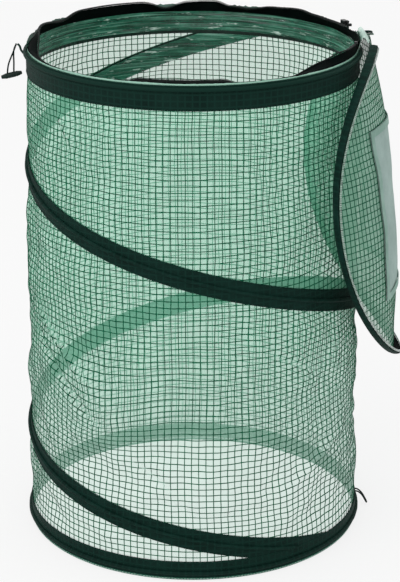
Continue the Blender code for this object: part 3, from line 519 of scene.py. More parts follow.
# Drags: azimuth, height, spread round and up, and rise
PULLS = (
    (234, 0.250, 17, 0.055, -0.026), (205, 0.205, 16, 0.060, 0.012), (346, 0.135, 34, 0.110, 0.022),
    (300, 0.120, 22, 0.070, -0.007), (326, 0.470, 24, 0.090, 0.010), (118, 0.560, 26, 0.060, 0.012),
    (150, 0.560, 20, 0.060, -0.010), (60, 0.250, 30, 0.100, 0.012),
)


def repaint(material, factor, colour):
    """Lay another colour over a material where the factor is high."""
    tree = material.node_tree
    shader = tree.nodes["Principled BSDF"]
    base = shader.inputs["Base Color"].links[0].from_socket
    over = add_node(tree, "ShaderNodeMix", {"Factor": factor, "A": base, "B": srgb(*colour)}, data_type="RGBA")
    tree.links.new(over.outputs["Result"], shader.inputs["Base Color"])


def repaint_along(material, axis, start, end, colour, easing="SMOOTHSTEP"):
    """Lay another colour over a material from one place to another along an axis of the house."""
    tree = material.node_tree
    place = add_node(tree, "ShaderNodeSeparateXYZ", {"Vector": place_on(tree, "Object")})
    share = add_node(tree, "ShaderNodeMapRange", {
        "Value": place.outputs[axis], "From Min": start, "From Max": end,
    }, interpolation_type=easing)
    repaint(material, share.outputs["Result"], colour)


def flare_at(height):
    """How much wider than the ring the wall stands at a height."""
    return 1 + FLARE * max(0.0, 1 - height / FLARE_TOP)


def ease(share):
    """A share held between 0 and 1, with a smooth start and end."""
    share = min(max(share, 0.0), 1.0)
    return share * share * (3 - 2 * share)


def helix_height(azimuth):
    """Height of the winding sleeve's middle, by the azimuth counted on through its turns."""
    half_turns = azimuth / math.pi
    return HOUSE_HEIGHT + HELIX_OVER_RING - HELIX_FALL * half_turns + HELIX_EASING * half_turns ** 2


def looseness(azimuth, height):
    """0 where a sleeve holds the film, 1 in the middle of a free stretch."""
    free = min(FLARE_TOP - height, height - FOOT_SLEEVE_TOP)
    for turn in (0, 1):
        middle = helix_height(azimuth % (2 * math.pi) + turn * 2 * math.pi)
        free = min(free, abs(height - middle) - HELIX_HALF_WIDTH)
    return ease(free / RIPPLE_REACH)


def fold_at(azimuth, height):
    """How far the long creases left by folding the house away push its film out or in at a place."""
    push = 0.0
    for first, first_height, second, second_height, width, depth in FOLDS:
        away = (math.radians(first) - azimuth + math.pi) % (2 * math.pi) - math.pi
        start = Vector((-away * WALL_RADIUS, height - first_height))
        line = Vector((math.radians(second - first) * WALL_RADIUS, second_height - first_height))
        share = start.dot(line) / line.length_squared
        beside = abs(start.cross(line)) / line.length
        push += depth * ease(share * 3) * ease((1 - share) * 3) * max(0.0, 1 - beside / width) ** 2
    return push


def pull_at(azimuth, height):
    """How far the scrim is dragged up or down at a place, where the film has set crooked."""
    pull = 0.0
    for middle, middle_height, spread, height_spread, rise in PULLS:
        away = (math.radians(middle) - azimuth + math.pi) % (2 * math.pi) - math.pi
        pull += rise * math.exp(-(away / math.radians(spread)) ** 2 - ((height - middle_height) / height_spread) ** 2)
    return pull


def on_tube(azimuth, height):
    """The place on the plain wall that its noise is taken at."""
    return Vector((math.cos(azimuth), math.sin(azimuth), height / WALL_RADIUS)) * WALL_RADIUS


def ripple(azimuth, height):
    """How far the loose film stands out of its tube, and how far its threads wander along and up."""
    loose = looseness(azimuth, height)
    place = on_tube(azimuth, height)
    deep = noise.noise(place * 11.0) + 0.6 * noise.noise(place * 21.0 + Vector((3.1, 0, 7.7)))
    fine = noise.noise(place * 46.0 + Vector((0, 5.2, 1.3)))
    crumpled = 1 + 0.9 * ease((0.26 - height) / 0.16)
    fold = loose * fold_at(azimuth, height)
    out = fold + loose * (RIPPLE_DEEP * deep + RIPPLE_FINE * crumpled * fine)
    along = loose * THREAD_WANDER * noise.noise(place * 9.0 + Vector((9.4, 2.2, 0)))
    up = (0.25 + 0.75 * loose) * THREAD_WANDER * noise.noise(place * 12.0 + Vector((1.7, 8.8, 4.1)))
    up += 0.5 * fold + loose * pull_at(azimuth, height)
    return out, along, up


def round_place(vert):
    """The azimuth and the radius of a vertex about the upright axis."""
    return math.atan2(vert.co.y, vert.co.x), math.hypot(vert.co.x, vert.co.y)


def on_house(azimuth, radius, height):
    """A place by azimuth and radius about the house's own axis."""
    return AXIS_X + radius * math.cos(azimuth), radius * math.sin(azimuth), height


def drape(shape):
    """Bend a shape made round the upright axis to the rippled, flared wall."""
    for vert in shape.verts:
        azimuth, radius = round_place(vert)
        out, along, up = ripple(azimuth, vert.co.z)
        radius = (radius + out) * flare_at(vert.co.z)
        vert.co = on_house(azimuth + along / WALL_RADIUS, radius, vert.co.z + up)


def face_outwards(shape):
    """Turn an open round surface so that its faces look away from the house's axis."""
    bmesh.ops.recalc_face_normals(shape, faces=shape.faces)
    total = sum(
        face.normal.x * (face.calc_center_median().x - AXIS_X) + face.normal.y * face.calc_center_median().y
        for face in shape.faces
    )
    if total < 0:
        bmesh.ops.reverse_faces(shape, faces=shape.faces)


def bar(size, place, rounding=0.0):
    """A box of a size at a place, as a new shape, with its edges rounded off where that is asked for."""
    shape = bmesh.new()
    bmesh.ops.create_cube(shape, size=1.0)
    bmesh.ops.scale(shape, vec=size, verts=shape.verts)
    if rounding:
        bmesh.ops.bevel(
            shape, geom=shape.edges, offset=rounding, segments=1, profile=0.5, affect="EDGES", material=-1,
        )
    bmesh.ops.translate(shape, vec=place, verts=shape.verts)
    return shape


def cut_long_edges(shape, axis, least, cuts):
    """Cut the edges that run further than a length along an axis, so that they can bend."""
    edges = [edge for edge in shape.edges if abs(edge.verts[0].co[axis] - edge.verts[1].co[axis]) > least]
    bmesh.ops.subdivide_edges(shape, edges=edges, cuts=cuts)


def seat_on_wall(piece, slot, *stood_for):
    """A piece of the wall rides on the foot, with a mesh of its own."""
    seat(piece, "base", slot, *stood_for)
    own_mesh(piece)


film_milk = new_material(
    "film_milk", (149, 230, 195), (130, 215, 178), 0.30, 0.14, 7, 160, (0.25, 0.0006), Alpha=0.45,
)
# Painted light: the film pales towards the bottom, standing in for the brighter light that shows through it and
# catches its crumpled lower part
repaint_along(film_milk, "Z", PAINTED_LIGHT_HIGH, PAINTED_LIGHT_LOW, (196, 236, 218))
scrim_thread = new_material("scrim_thread", (8, 96, 66), (4, 76, 52), 0.6, 0.2, 40, 900, specular=0.03)

shape = line_of([(WALL_RADIUS, FILM_LOW), (WALL_RADIUS, HOUSE_HEIGHT)], cuts=FILM_ROWS - 1)
spin_all(shape, FILM_COLUMNS)
drape(shape)
face_outwards(shape)
wall_film = new_piece("wall_film", shape, film_milk, 180, turned=True)
seat_on_wall(wall_film, "reinforced_film", "wall_sheet")

ring_pitch = (HOUSE_HEIGHT - FILM_LOW) / RING_THREADS
shape = bmesh.new()
for ring in range(RING_THREADS):
    middle = FILM_LOW + (ring + 0.5) * ring_pitch
    inner = WALL_RADIUS - THREAD_DEPTH / 2
    outer = WALL_RADIUS + THREAD_DEPTH / 2
    low = middle - THREAD_WIDTH / 2
    high = middle + THREAD_WIDTH / 2
    line_of([(outer, high), (outer, low), (inner, low), (inner, high)], closed=True, shape=shape)
spin_all(shape, FILM_COLUMNS)
drape(shape)
ring_threads = new_piece("wall_ring_threads", shape, scrim_thread, 60)
seat_on_wall(ring_threads, "reinforced_film")

shape = bar((THREAD_DEPTH, THREAD_WIDTH, HOUSE_HEIGHT - FILM_LOW), (WALL_RADIUS, 0, (HOUSE_HEIGHT + FILM_LOW) / 2))
cut_long_edges(shape, 2, THREAD_WIDTH, FILM_ROWS - 1)
spin_all(shape, UPRIGHT_THREADS, copies=True)
drape(shape)
upright_threads = new_piece("wall_upright_threads", shape, scrim_thread, 60)
seat_on_wall(upright_threads, "reinforced_film")


# Seam strip: a band of the same film, heat-welded over the upright lap at the back of the wall,
# on its inner face, from the hem up to the foot of the zip tape.
seam_low, seam_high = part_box("wall_seam_strip")
SEAM_AZIMUTH = math.atan2((seam_low.y + seam_high.y) / 2, (seam_low.x + seam_high.x) / 2 - AXIS_X)
SEAM_WIDTH = 0.018
SEAM_GAP = 0.0007
SEAM_COLUMNS = 6

film_lap = new_material(
    "film_lap", (150, 201, 178), (132, 188, 163), 0.34, 0.14, 12, 200, (0.3, 0.0006), Alpha=0.62,
)
seam_radius = WALL_RADIUS - SEAM_GAP
shape = line_of([(seam_radius, seam_low.z), (seam_radius, seam_high.z)], cuts=FILM_ROWS - 1)
half_seam = SEAM_WIDTH / WALL_RADIUS / 2
turn_by(shape, SEAM_AZIMUTH - half_seam)
spin_all(shape, SEAM_COLUMNS, turn=2 * half_seam)
drape(shape)
face_outwards(shape)
seat_on_wall(new_piece("seam_strip", shape, film_lap, 180, turned=True), "reinforced_film", "wall_seam_strip")


# Tape sleeves: woven dark green tape, sewn flat over the film with a rounded tunnel for the spring wire.
# One closes the ring, one the foot, and one winds down the wall between them. The scrim under the tape
# shows through it as faint ridges with a painted highlight on them, and the ring's tape has a painted
# highlight along its wire tunnel. Two rows of stitches hold each edge.
TUNNEL_SKIN = 0.0006
TUNNEL_RADIUS = 0.0022
WIRE_PATH = HOUSE_RADIUS - TUNNEL_SKIN - TUNNEL_RADIUS
BAND_INNER = 0.2253
BAND_OUTER = 0.2262
SLEEVE_STEPS = 240
BULGE_POINTS = 11
TOP_WIRE_DROP = 0.005
FOOT_WIRE_RISE = 0.007
HELIX_FROM = 60
HELIX_TO = 690
HELIX_START = math.radians(HELIX_FROM)
HELIX_TURN = math.radians(HELIX_TO - HELIX_FROM)
HELIX_STACKING = 0.1
CUT_GAP = 0.0003
STITCH_PITCH = 0.0042
STITCH_LENGTH = 0.0031
STITCH_WIDTH = 0.0007
STITCH_INSET = 0.0022
STITCH_BESIDE_WIRE = 0.0048
WEAVE_PITCH = 0.0011
RIDGE_HALF_WIDTH = 0.0016
CLOTH_LIFE = 0.00035
# Heights between which the ring's tape takes its painted highlight over the wire tunnel
WIRE_HIGHLIGHT_LOW = HOUSE_HEIGHT - 0.0082
WIRE_HIGHLIGHT_HIGH = HOUSE_HEIGHT - 0.0070


def tape_group():
    """Height of plain-woven tape laid over a scrim: fine crossing threads and the scrim's soft ridges."""
    group, given, result = new_group(
        "tape_weave",
        [("Vector", "Vector"), ("Weave", "Float"), ("Ridge Across", "Float"), ("Ridge Up", "Float"),
         ("Ridge Share", "Float")],
        [("Height", "Float"), ("Ridge", "Float")],
    )
    split = add_node(group, "ShaderNodeSeparateXYZ", {"Vector": given.outputs["Vector"]})
    waves = []
    for axis in ("X", "Y"):
        phase = maths(group, "DIVIDE", split.outputs[axis], given.outputs["Weave"])
        waves.append(maths(group, "SINE", maths(group, "MULTIPLY", phase, 2 * math.pi)))
    weave = maths(group, "MULTIPLY", waves[0], waves[1])
    ridges = []
    for axis, pitch in (("X", "Ridge Across"), ("Y", "Ridge Up")):
        half = maths(group, "MULTIPLY", given.outputs[pitch], 0.5)
        away = maths(group, "PINGPONG", split.outputs[axis], half)
        ridges.append(maths(group, "SMOOTH_MIN", maths(group, "DIVIDE", away, RIDGE_HALF_WIDTH), 1.0, 0.4))
    hollow = maths(group, "MINIMUM", ridges[0], ridges[1])
    ridge = maths(group, "SUBTRACT", 1.0, hollow)
    group.links.new(ridge, result.inputs["Ridge"])
    group.links.new(
        maths(group, "MULTIPLY_ADD", ridge, given.outputs["Ridge Share"], maths(group, "MULTIPLY", weave, 0.25)),
        result.inputs["Height"],
    )
    return group


TAPE_WEAVE = tape_group()


def cloth_material(name, colour, shade, roughness, weave, specular=0.08, ridges=0.0, ridge_highlight=None):
    """Woven tape: mottled colour, weave and ridges in the tape's own coordinates, with a painted highlight on the
    ridges.
    """
    material = new_material(name, colour, shade, roughness, 0.15, 30, 700, (0.5, 0.0005), "UV", specular=specular)
    tree = material.node_tree
    pattern = add_node(tree, "ShaderNodeGroup", {
        "Vector": place_on(tree), "Weave": weave, "Ridge Across": math.tau * WALL_RADIUS / UPRIGHT_THREADS,
        "Ridge Up": ring_pitch, "Ridge Share": ridges,
    }, node_tree=TAPE_WEAVE)
    feed_bump(material, pattern.outputs["Height"])
    # Painted highlight: the scrim's ridges are lightened where they stand up under the tape and catch the light
    if ridge_highlight:
        repaint(material, pattern.outputs["Ridge"], ridge_highlight)
    return material


def lay_round_coordinates(piece):
    """Give a piece that goes round the house its cloth coordinates: metres along it and metres up."""
    mesh = piece.data
    layer = mesh.uv_layers.new(name="UVMap")
    for polygon in mesh.polygons:
        middle = math.atan2(polygon.center.y, polygon.center.x - AXIS_X)
        for loop in polygon.loop_indices:
            spot = mesh.vertices[mesh.loops[loop].vertex_index].co
            azimuth = math.atan2(spot.y, spot.x - AXIS_X)
            azimuth += 2 * math.pi * round((middle - azimuth) / (2 * math.pi))
            layer.data[loop].uv = (azimuth * WALL_RADIUS, spot.z)


def arc_points(wire_height, radius, start, end, count):
    """Points on an arc about the wire."""
    angles = [start + (end - start) * step / (count - 1) for step in range(count)]
    return [(WIRE_PATH + radius * math.cos(angle), wire_height + radius * math.sin(angle)) for angle in angles]


def sleeve_outline(lower, width, wire_height):
    """Section of a sleeve: flat tape with rolled edges and a rounded tunnel, open towards the film."""
    upper = lower + width
    bulge = TUNNEL_RADIUS + TUNNEL_SKIN
    bulge_angle = math.acos((BAND_OUTER - WIRE_PATH) / bulge)
    mouth_angle = math.acos((BAND_INNER - WIRE_PATH) / TUNNEL_RADIUS)
    roll = (BAND_OUTER - BAND_INNER) / 3
    outside = arc_points(wire_height, bulge, bulge_angle, -bulge_angle, BULGE_POINTS)
    inside = arc_points(wire_height, TUNNEL_RADIUS, -mouth_angle, mouth_angle, BULGE_POINTS)
    flats = []
    above = upper - roll
    tallest = wire_height - bulge * math.sin(bulge_angle)
    for share in (0.75, 0.5, 0.25):
        flats.append((BAND_OUTER, lower + roll + (tallest - lower - roll) * share))
    top = [(BAND_INNER, above), (BAND_INNER + roll, upper), (BAND_OUTER - roll, upper), (BAND_OUTER, above)]
    foot = [(BAND_OUTER, lower + roll), (BAND_OUTER - roll, lower), (BAND_INNER + roll, lower),
            (BAND_INNER, lower + roll)]
    return top + outside + flats + foot + inside


def settle(shape):
    """Flare a shape made round the upright axis, give the cloth a little life and set it on the house."""
    for vert in shape.verts:
        azimuth, radius = round_place(vert)
        radius += CLOTH_LIFE * (1 + noise.noise(on_tube(azimuth, vert.co.z) * 60.0))
        vert.co = on_house(azimuth, radius * flare_at(vert.co.z), vert.co.z)


def wind(shape, steps, start=HELIX_START, turn=HELIX_TURN, copies=False):
    """Spin a shape made at height 0 down the helix, stacked first so that each corner's turn is known."""
    turn_by(shape, start)
    spin_all(shape, steps, turn=turn, climb=steps * HELIX_STACKING, copies=copies)
    for vert in shape.verts:
        step = round(vert.co.z / HELIX_STACKING)
        azimuth = math.atan2(vert.co.y, vert.co.x)
        azimuth += 2 * math.pi * round((start + turn * step / steps - azimuth) / (2 * math.pi))
        vert.co.z += helix_height(azimuth) - step * HELIX_STACKING


def cut_level(shape, close):
    """Cut a winding shape off level at the upper and the lower sleeve, and close the cuts."""
    for height, up in ((ring_low.z - CUT_GAP, 1), (FOOT_SLEEVE_TOP + CUT_GAP, -1)):
        cut = bmesh.ops.bisect_plane(
            shape, geom=everything(shape), dist=1e-6, plane_co=(0, 0, height), plane_no=(0, 0, up),
            clear_outer=True,
        )["geom_cut"]
        if close:
            bmesh.ops.edgeloop_fill(shape, edges=[item for item in cut if isinstance(item, bmesh.types.BMEdge)])


def seat_round(piece, body, slot, *stood_for):
    """Seat a piece on a body, or on the wall where it winds down it and has no body of its own."""
    if body:
        seat(piece, body, slot, *stood_for)
    else:
        seat_on_wall(piece, slot, *stood_for)


def sleeve(name, outline, node, material, body=None):
    """Spin a sleeve's section round the house, closed on itself, or winding down where it has no body."""
    shape = line_of(outline, closed=True)
    if body is None:
        shape.faces.new(list(shape.verts))
        wind(shape, round(SLEEVE_STEPS * HELIX_TURN / (2 * math.pi)))
        cut_level(shape, close=True)
    else:
        spin_all(shape, SLEEVE_STEPS)
    settle(shape)
    piece = new_piece(name, shape, material)
    lay_round_coordinates(piece)
    seat_round(piece, body, "dark_tape", node)


def stitch_row(name, radius, height, material, body=None):
    """A row of short tight stitches, each a small rounded bar, on a body or on the winding sleeve."""
    shape = bar((STITCH_WIDTH, STITCH_LENGTH, STITCH_WIDTH), (radius, 0, height), STITCH_WIDTH * 0.3)
    if body is None:
        highest = ring_low.z - STITCH_INSET - height
        lowest = FOOT_SLEEVE_TOP + STITCH_INSET - height
        angles = [math.radians(degree) for degree in range(HELIX_FROM, HELIX_TO + 1)]
        held = [angle for angle in angles if lowest < helix_height(angle) < highest]
        turn = held[-1] - held[0]
        wind(shape, round(turn * radius / STITCH_PITCH), start=held[0], turn=turn, copies=True)
    else:
        spin_all(shape, round(2 * math.pi * radius / STITCH_PITCH), copies=True)
    settle(shape)
    seat_round(new_piece(name, shape, material), body, "dark_tape")


def paint(names, material):
    """Give a material to CAD nodes that stay in sight."""
    for name in names:
        nodes[name].data.materials.clear()
        nodes[name].data.materials.append(material)


# The sleeve and ring tapes carry a painted highlight on the scrim's ridges
sleeve_tape = cloth_material(
    "sleeve_tape", (12, 43, 36), (5, 31, 25), 0.62, WEAVE_PITCH, ridges=0.8, ridge_highlight=(14, 48, 40),
)
ring_tape = cloth_material(
    "ring_tape", (11, 41, 34), (4, 29, 24), 0.62, WEAVE_PITCH, ridges=0.8, ridge_highlight=(14, 48, 40),
)
# Painted highlight: the ring's tape is lighter from just below its wire tunnel upwards, where it is stretched over
# the wire and catches the light
repaint_along(ring_tape, "Z", WIRE_HIGHLIGHT_LOW, WIRE_HIGHLIGHT_HIGH, (13, 45, 37))
sewing_thread = new_material("sewing_thread", (18, 56, 46), (9, 36, 29), 0.6, 0.2, 200, 2500, specular=0.1)
paint(["toggle_tab"], sewing_thread)

foot_low, foot_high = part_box("bottom_band")
top_outline = sleeve_outline(ring_low.z, ring_high.z - ring_low.z, HOUSE_HEIGHT - TOP_WIRE_DROP)
foot_outline = sleeve_outline(foot_low.z, foot_high.z - foot_low.z, foot_low.z + FOOT_WIRE_RISE)
helix_outline = sleeve_outline(-HELIX_HALF_WIDTH, 2 * HELIX_HALF_WIDTH, 0.0)
sleeve("top_sleeve", top_outline, "top_band", ring_tape, "top_ring")
sleeve("foot_sleeve", foot_outline, "bottom_band", sleeve_tape, "base")
sleeve("winding_sleeve", helix_outline, "helix_band", sleeve_tape)

stitch_radius = BAND_OUTER + STITCH_WIDTH * 0.15
for name, height, body in (
    ("top_stitches_upper", HOUSE_HEIGHT - TOP_WIRE_DROP - STITCH_BESIDE_WIRE, "top_ring"),
    ("top_stitches_lower", ring_low.z + STITCH_INSET, "top_ring"),
    ("foot_stitches_upper", foot_high.z - STITCH_INSET, "base"),
    ("foot_stitches_lower", foot_low.z + FOOT_WIRE_RISE + STITCH_BESIDE_WIRE, "base"),
    ("winding_stitches_upper", HELIX_HALF_WIDTH - STITCH_INSET, None),
    ("winding_stitches_lower", STITCH_INSET - HELIX_HALF_WIDTH, None),
):
    stitch_row(name, stitch_radius, height, sewing_thread, body)


# Hem tape: a narrow woven binding folded round the film's lower edge, which the house stands on,
# held by a row of pale stitches.
hem_low, hem_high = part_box("bottom_hem_tape")
HEM_WIDTH = 0.003
HEM_ROUNDING = 0.0007
HEM_STITCH_DROP = 0.0008

hem_tape = cloth_material("hem_tape", (62, 132, 110), (40, 104, 84), 0.7, 0.0009)
shape = bmesh.new()
hem_height = hem_high.z - hem_low.z
bmesh.ops.create_grid(shape, x_segments=1, y_segments=1, size=0.5)
bmesh.ops.scale(shape, vec=(HEM_WIDTH, hem_height, 1), verts=shape.verts)
bmesh.ops.bevel(
    shape, geom=shape.verts, offset=HEM_ROUNDING, segments=3, profile=0.5, affect="VERTICES", material=-1,
)
bmesh.ops.delete(shape, geom=shape.faces, context="FACES_ONLY")
bmesh.ops.rotate(shape, matrix=Matrix.Rotation(math.pi / 2, 3, "X"), verts=shape.verts)
bmesh.ops.translate(shape, vec=(WALL_RADIUS, 0, hem_low.z + hem_height / 2), verts=shape.verts)
spin_all(shape, SLEEVE_STEPS)
for vert in shape.verts:
    vert.co.xy *= flare_at(vert.co.z)
    vert.co.x += AXIS_X
hem = new_piece("hem_binding", shape, hem_tape)
lay_round_coordinates(hem)
seat(hem, "base", "dark_tape", "bottom_hem_tape")

pale_thread = new_material("pale_thread", (214, 232, 224), (176, 200, 190), 0.6, 0.2, 200, 2500, specular=0.2)
hem_stitch_radius = WALL_RADIUS + HEM_WIDTH / 2 + STITCH_WIDTH * 0.1
stitch_row("hem_stitches", hem_stitch_radius, hem_high.z - HEM_STITCH_DROP, pale_thread, "base")


# Spring wire: bright tempered steel hoops in the ring and the foot, and one long wire in the winding
# sleeve. Each hoop's ends meet in a crimped ferrule, and each end of the long wire has one.
spring_steel = new_material("spring_steel", (196, 198, 200), (150, 152, 156), 0.3, 0.15, 60, 900, Metallic=1.0)
paint(["top_hoop_wire", "top_hoop_ferrule", "bottom_hoop_wire", "bottom_hoop_ferrule"], spring_steel)

for name in ("helix_wire", "helix_wire_upper_ferrule", "helix_wire_lower_ferrule"):
    shape = bmesh.new()
    shape.from_mesh(nodes[name].data)
    bmesh.ops.remove_doubles(shape, verts=shape.verts, dist=1e-6)
    piece = new_piece(name.replace("helix_wire", "winding_wire"), shape, spring_steel)
    seat_on_wall(piece, "spring_steel", name)


# Facings: strips of clear film welded over the inside of the sleeves, so that the tapes' raw edges
# and the foot of the zip tape are covered. They are creased along their length and shiny, with dark
# streaks and with pale and white painted highlights streaked along the crinkled film. Beside each
# facing a turned-in edge of the dark tape is left bare over the scrim.
FACING_STEPS = 540
FACING_ROWS = 22
FACING_GAP = 0.0010
FACING_FOLD = 0.0016
FACING_CRINKLE = 0.0026
TOP_FACING_RADIUS = 0.2228
TOP_FACING_DROP = 0.0285
TOP_FACING_LAP = 0.0004
TOP_EDGE_LAP = 0.003
WINDING_EDGE_LAP = 0.0006
EDGE_GAP = 0.0009
EDGE_RIDGE = 0.0006
EDGE_STEPS_PER_THREAD = 6
WINDING_EDGE_WIDTH = 0.0028

facing_film = new_material(
    "facing_film", (50, 126, 100), (22, 82, 62), 0.16, 0.22, 34, 240, (0.8, 0.0012), "UV", Alpha=0.93,
)
tree = facing_film.node_tree
# Streaks along the facings: a dark one, then pale and white painted highlights where the crinkled film catches the
# light
for stretch, low, high, colour in (
    ((7, 260, 1), 0.50, 0.40, (10, 52, 38)), ((5, 330, 5), 0.54, 0.64, (112, 176, 152)),
    ((30, 150, 9), 0.60, 0.68, (206, 232, 220)),
):
    along = add_node(tree, "ShaderNodeMapping", {
        "Vector": place_on(tree), "Scale": stretch, "Location": (0, 0, stretch[2]),
    })
    streaks = add_node(tree, "ShaderNodeTexNoise", {
        "Vector": along.outputs["Vector"], "Scale": 1.0, "Detail": 3.0, "Roughness": 0.7,
    })
    share = add_node(tree, "ShaderNodeMapRange", {
        "Value": streaks.outputs["Fac"], "From Min": low, "From Max": high, "To Max": 0.9,
    })
    repaint(facing_film, share.outputs["Result"], colour)

bare_edge = new_material(
    "bare_edge", (12, 48, 38), (4, 26, 20), 0.30, 0.20, 60, 500, (0.5, 0.0006), "UV", specular=0.35,
)


def crease(azimuth, height):
    """Long folds and sharp little crinkles of a film that is wider than its seat, seen from inside."""
    around = on_tube(azimuth, 0)
    long_fold = 0.5 - 2.2 * abs(noise.noise(around * 8.0 + Vector((0, 0, height * 120))))
    crinkle = abs(noise.noise(around * 42.0 + Vector((4, 4, height * 90)))) - 0.12
    gathered = ease(0.5 + 1.6 * noise.noise(around * 7.0 + Vector((0, 0, 6.5))))
    return FACING_FOLD * (0.5 + long_fold) + FACING_CRINKLE * gathered * crinkle


def lining(name, radius, low, high, inward, material, rows, steps, slot, body=None):
    """A strip inside the wall, round a body or down the winding, pushed inwards by its own relief."""
    shape = line_of([(radius, low), (radius, high)], cuts=rows - 1)
    if body is None:
        wind(shape, round(steps * HELIX_TURN / (2 * math.pi)))
        cut_level(shape, close=False)
    else:
        spin_all(shape, steps)
    for vert in shape.verts:
        azimuth, wide = round_place(vert)
        wide -= max(0.0, inward(azimuth, vert.co.z))
        vert.co = on_house(azimuth, wide * flare_at(vert.co.z), vert.co.z)
    face_outwards(shape)
    piece = new_piece(name, shape, material, 180, turned=True)
    lay_round_coordinates(piece)
    seat_round(piece, body, slot)


def ridge(azimuth, height):
    """The scrim's upright threads, pressed through the tape's bare edge."""
    step = round(azimuth * UPRIGHT_THREADS * EDGE_STEPS_PER_THREAD / (2 * math.pi))
    return EDGE_RIDGE if step % EDGE_STEPS_PER_THREAD == 0 else 0.0


facing_low = HOUSE_HEIGHT - TOP_FACING_DROP
edge_low = HELIX_HALF_WIDTH - WINDING_EDGE_WIDTH
edge_steps = UPRIGHT_THREADS * EDGE_STEPS_PER_THREAD
lining(
    "ring_facing", TOP_FACING_RADIUS, facing_low, HOUSE_HEIGHT - TOP_FACING_LAP, crease, facing_film,
    FACING_ROWS, FACING_STEPS, "reinforced_film", "top_ring",
)
lining(
    "ring_tape_edge", WALL_RADIUS - EDGE_GAP, ring_low.z - TOP_FACING_LAP, facing_low + TOP_EDGE_LAP, ridge,
    bare_edge, 3, edge_steps, "dark_tape", "top_ring",
)
lining(
    "winding_facing", WALL_RADIUS - FACING_GAP, -HELIX_HALF_WIDTH, edge_low + WINDING_EDGE_LAP, crease,
    facing_film, FACING_ROWS, FACING_STEPS, "reinforced_film",
)
lining(
    "winding_tape_edge", WALL_RADIUS - EDGE_GAP, edge_low, HELIX_HALF_WIDTH, ridge, bare_edge, 2,
    edge_steps // 2, "dark_tape",
)


# Film lip: the cut edge of the wall film, left standing above the ring. It is trimmed short at the
# front and stands higher and frayed at the back.
LIP_FRONT = 0.0024
LIP_BACK = 0.0090
LIP_STEPS = 720
LIP_ROWS = 5
LIP_LEAN = 0.16
LIP_FRAY = 0.0016
HINGE_LIP_RISE = 0.0065
HINGE_LIP_FRAY = 0.004
HINGE_LIP_REACH = math.radians(14)
LIP_HIGHLIGHT_BACK = 0.02
LIP_HIGHLIGHT_FRONT = -0.10

lip_film = new_material("lip_film", (48, 112, 90), (26, 78, 60), 0.3, 0.2, 60, 500, (0.4, 0.0006), Alpha=0.95)
# Painted highlight: the lip pales from dark green at the back towards the front, where its cut edge catches the light
repaint_along(lip_film, "Y", LIP_HIGHLIGHT_BACK, LIP_HIGHLIGHT_FRONT, (172, 220, 200), "LINEAR")

# Made 1 m tall, so that a vertex's height above the ring is its share of the lip's own height
shape = line_of([(WALL_RADIUS, HOUSE_HEIGHT), (WALL_RADIUS, HOUSE_HEIGHT + 1.0)], cuts=LIP_ROWS - 1)
spin_all(shape, LIP_STEPS)
for vert in shape.verts:
    azimuth, _ = round_place(vert)
    share = vert.co.z - HOUSE_HEIGHT
    behind = ease(0.5 + 0.9 * math.sin(azimuth))
    place = on_tube(azimuth, 0)
    fray = noise.noise(place * 260.0) * (0.25 + 0.75 * behind)
    tall = (LIP_FRONT + (LIP_BACK - LIP_FRONT) * behind) * (1 + 0.35 * noise.noise(place * 30.0))
    beside_hinge = ease(1.3 - abs(azimuth) / HINGE_LIP_REACH)
    tall += LIP_FRAY * fray + beside_hinge * (HINGE_LIP_RISE + HINGE_LIP_FRAY * noise.noise(place * 300.0))
    rise = share * max(tall, 0.001)
    wide = WALL_RADIUS + rise * LIP_LEAN * (1 + noise.noise(place * 40.0))
    vert.co = on_house(azimuth, wide, HOUSE_HEIGHT + rise)
face_outwards(shape)
seat(new_piece("film_lip", shape, lip_film, 180, turned=True), "top_ring", "reinforced_film")


# Zip on the ring: black knitted tape sewn inside the ring with a nylon coil along its free edge.
# With the lid open the tape stands up in waves at the back and has flopped inwards at the front.
ZIP_PATH = 0.2235
ZIP_TAPE_RISE = 0.014
ZIP_TAPE_TUCK = 0.012
ZIP_TAPE_HALF = 0.0004
ZIP_BEND = 0.004
ZIP_STEPS = 480
ZIP_ROWS = 16
COIL_RISE = 0.0154
COIL_START = math.radians(15)
TOOTH_PITCH = 0.0017
TOOTH_SIZE = (0.0036, 0.0011, 0.0017)
TOOTH_ROUNDING = 0.32
# Places round the ring: azimuth and how far the tape leans inwards there, in degrees
TAPE_LEANS = (
    (0, 0), (14, 30), (30, 38), (38, 34), (47, 14), (57, 32), (68, 62), (75, 54), (84, 0), (91, 20), (101, 68),
    (111, 8), (122, 0), (134, 6), (150, 52), (163, 24), (192, 128), (243, 128), (252, 88), (280, 88),
    (289, 126), (303, 124), (324, 66), (336, 0), (360, 0),
)


def lean_at(azimuth):
    """How far the tape leans inwards at an azimuth, eased between a few places."""
    degrees = math.degrees(azimuth) % 360
    for (first, low), (second, high) in zip(TAPE_LEANS, TAPE_LEANS[1:]):
        if degrees <= second:
            return math.radians(low + (high - low) * ease((degrees - first) / (second - first)))
    return 0.0


def stand_tape(shape):
    """Bend a shape made upright on the ring to the leaning, waving zip tape."""
    for vert in shape.verts:
        azimuth, radius = round_place(vert)
        height = vert.co.z
        rise = height - HOUSE_HEIGHT
        out = radius - ZIP_PATH
        lean = lean_at(azimuth)
        if rise > 0 and lean > 1e-3:
            angle = lean * min(rise / ZIP_BEND, 1.0)
            bend = ZIP_BEND / lean
            beyond = max(rise - ZIP_BEND, 0.0)
            radius = ZIP_PATH - bend * (1 - math.cos(angle)) - beyond * math.sin(angle) + out * math.cos(angle)
            height = HOUSE_HEIGHT + bend * math.sin(angle) + beyond * math.cos(angle) + out * math.sin(angle)
        vert.co = on_house(azimuth, radius, height)


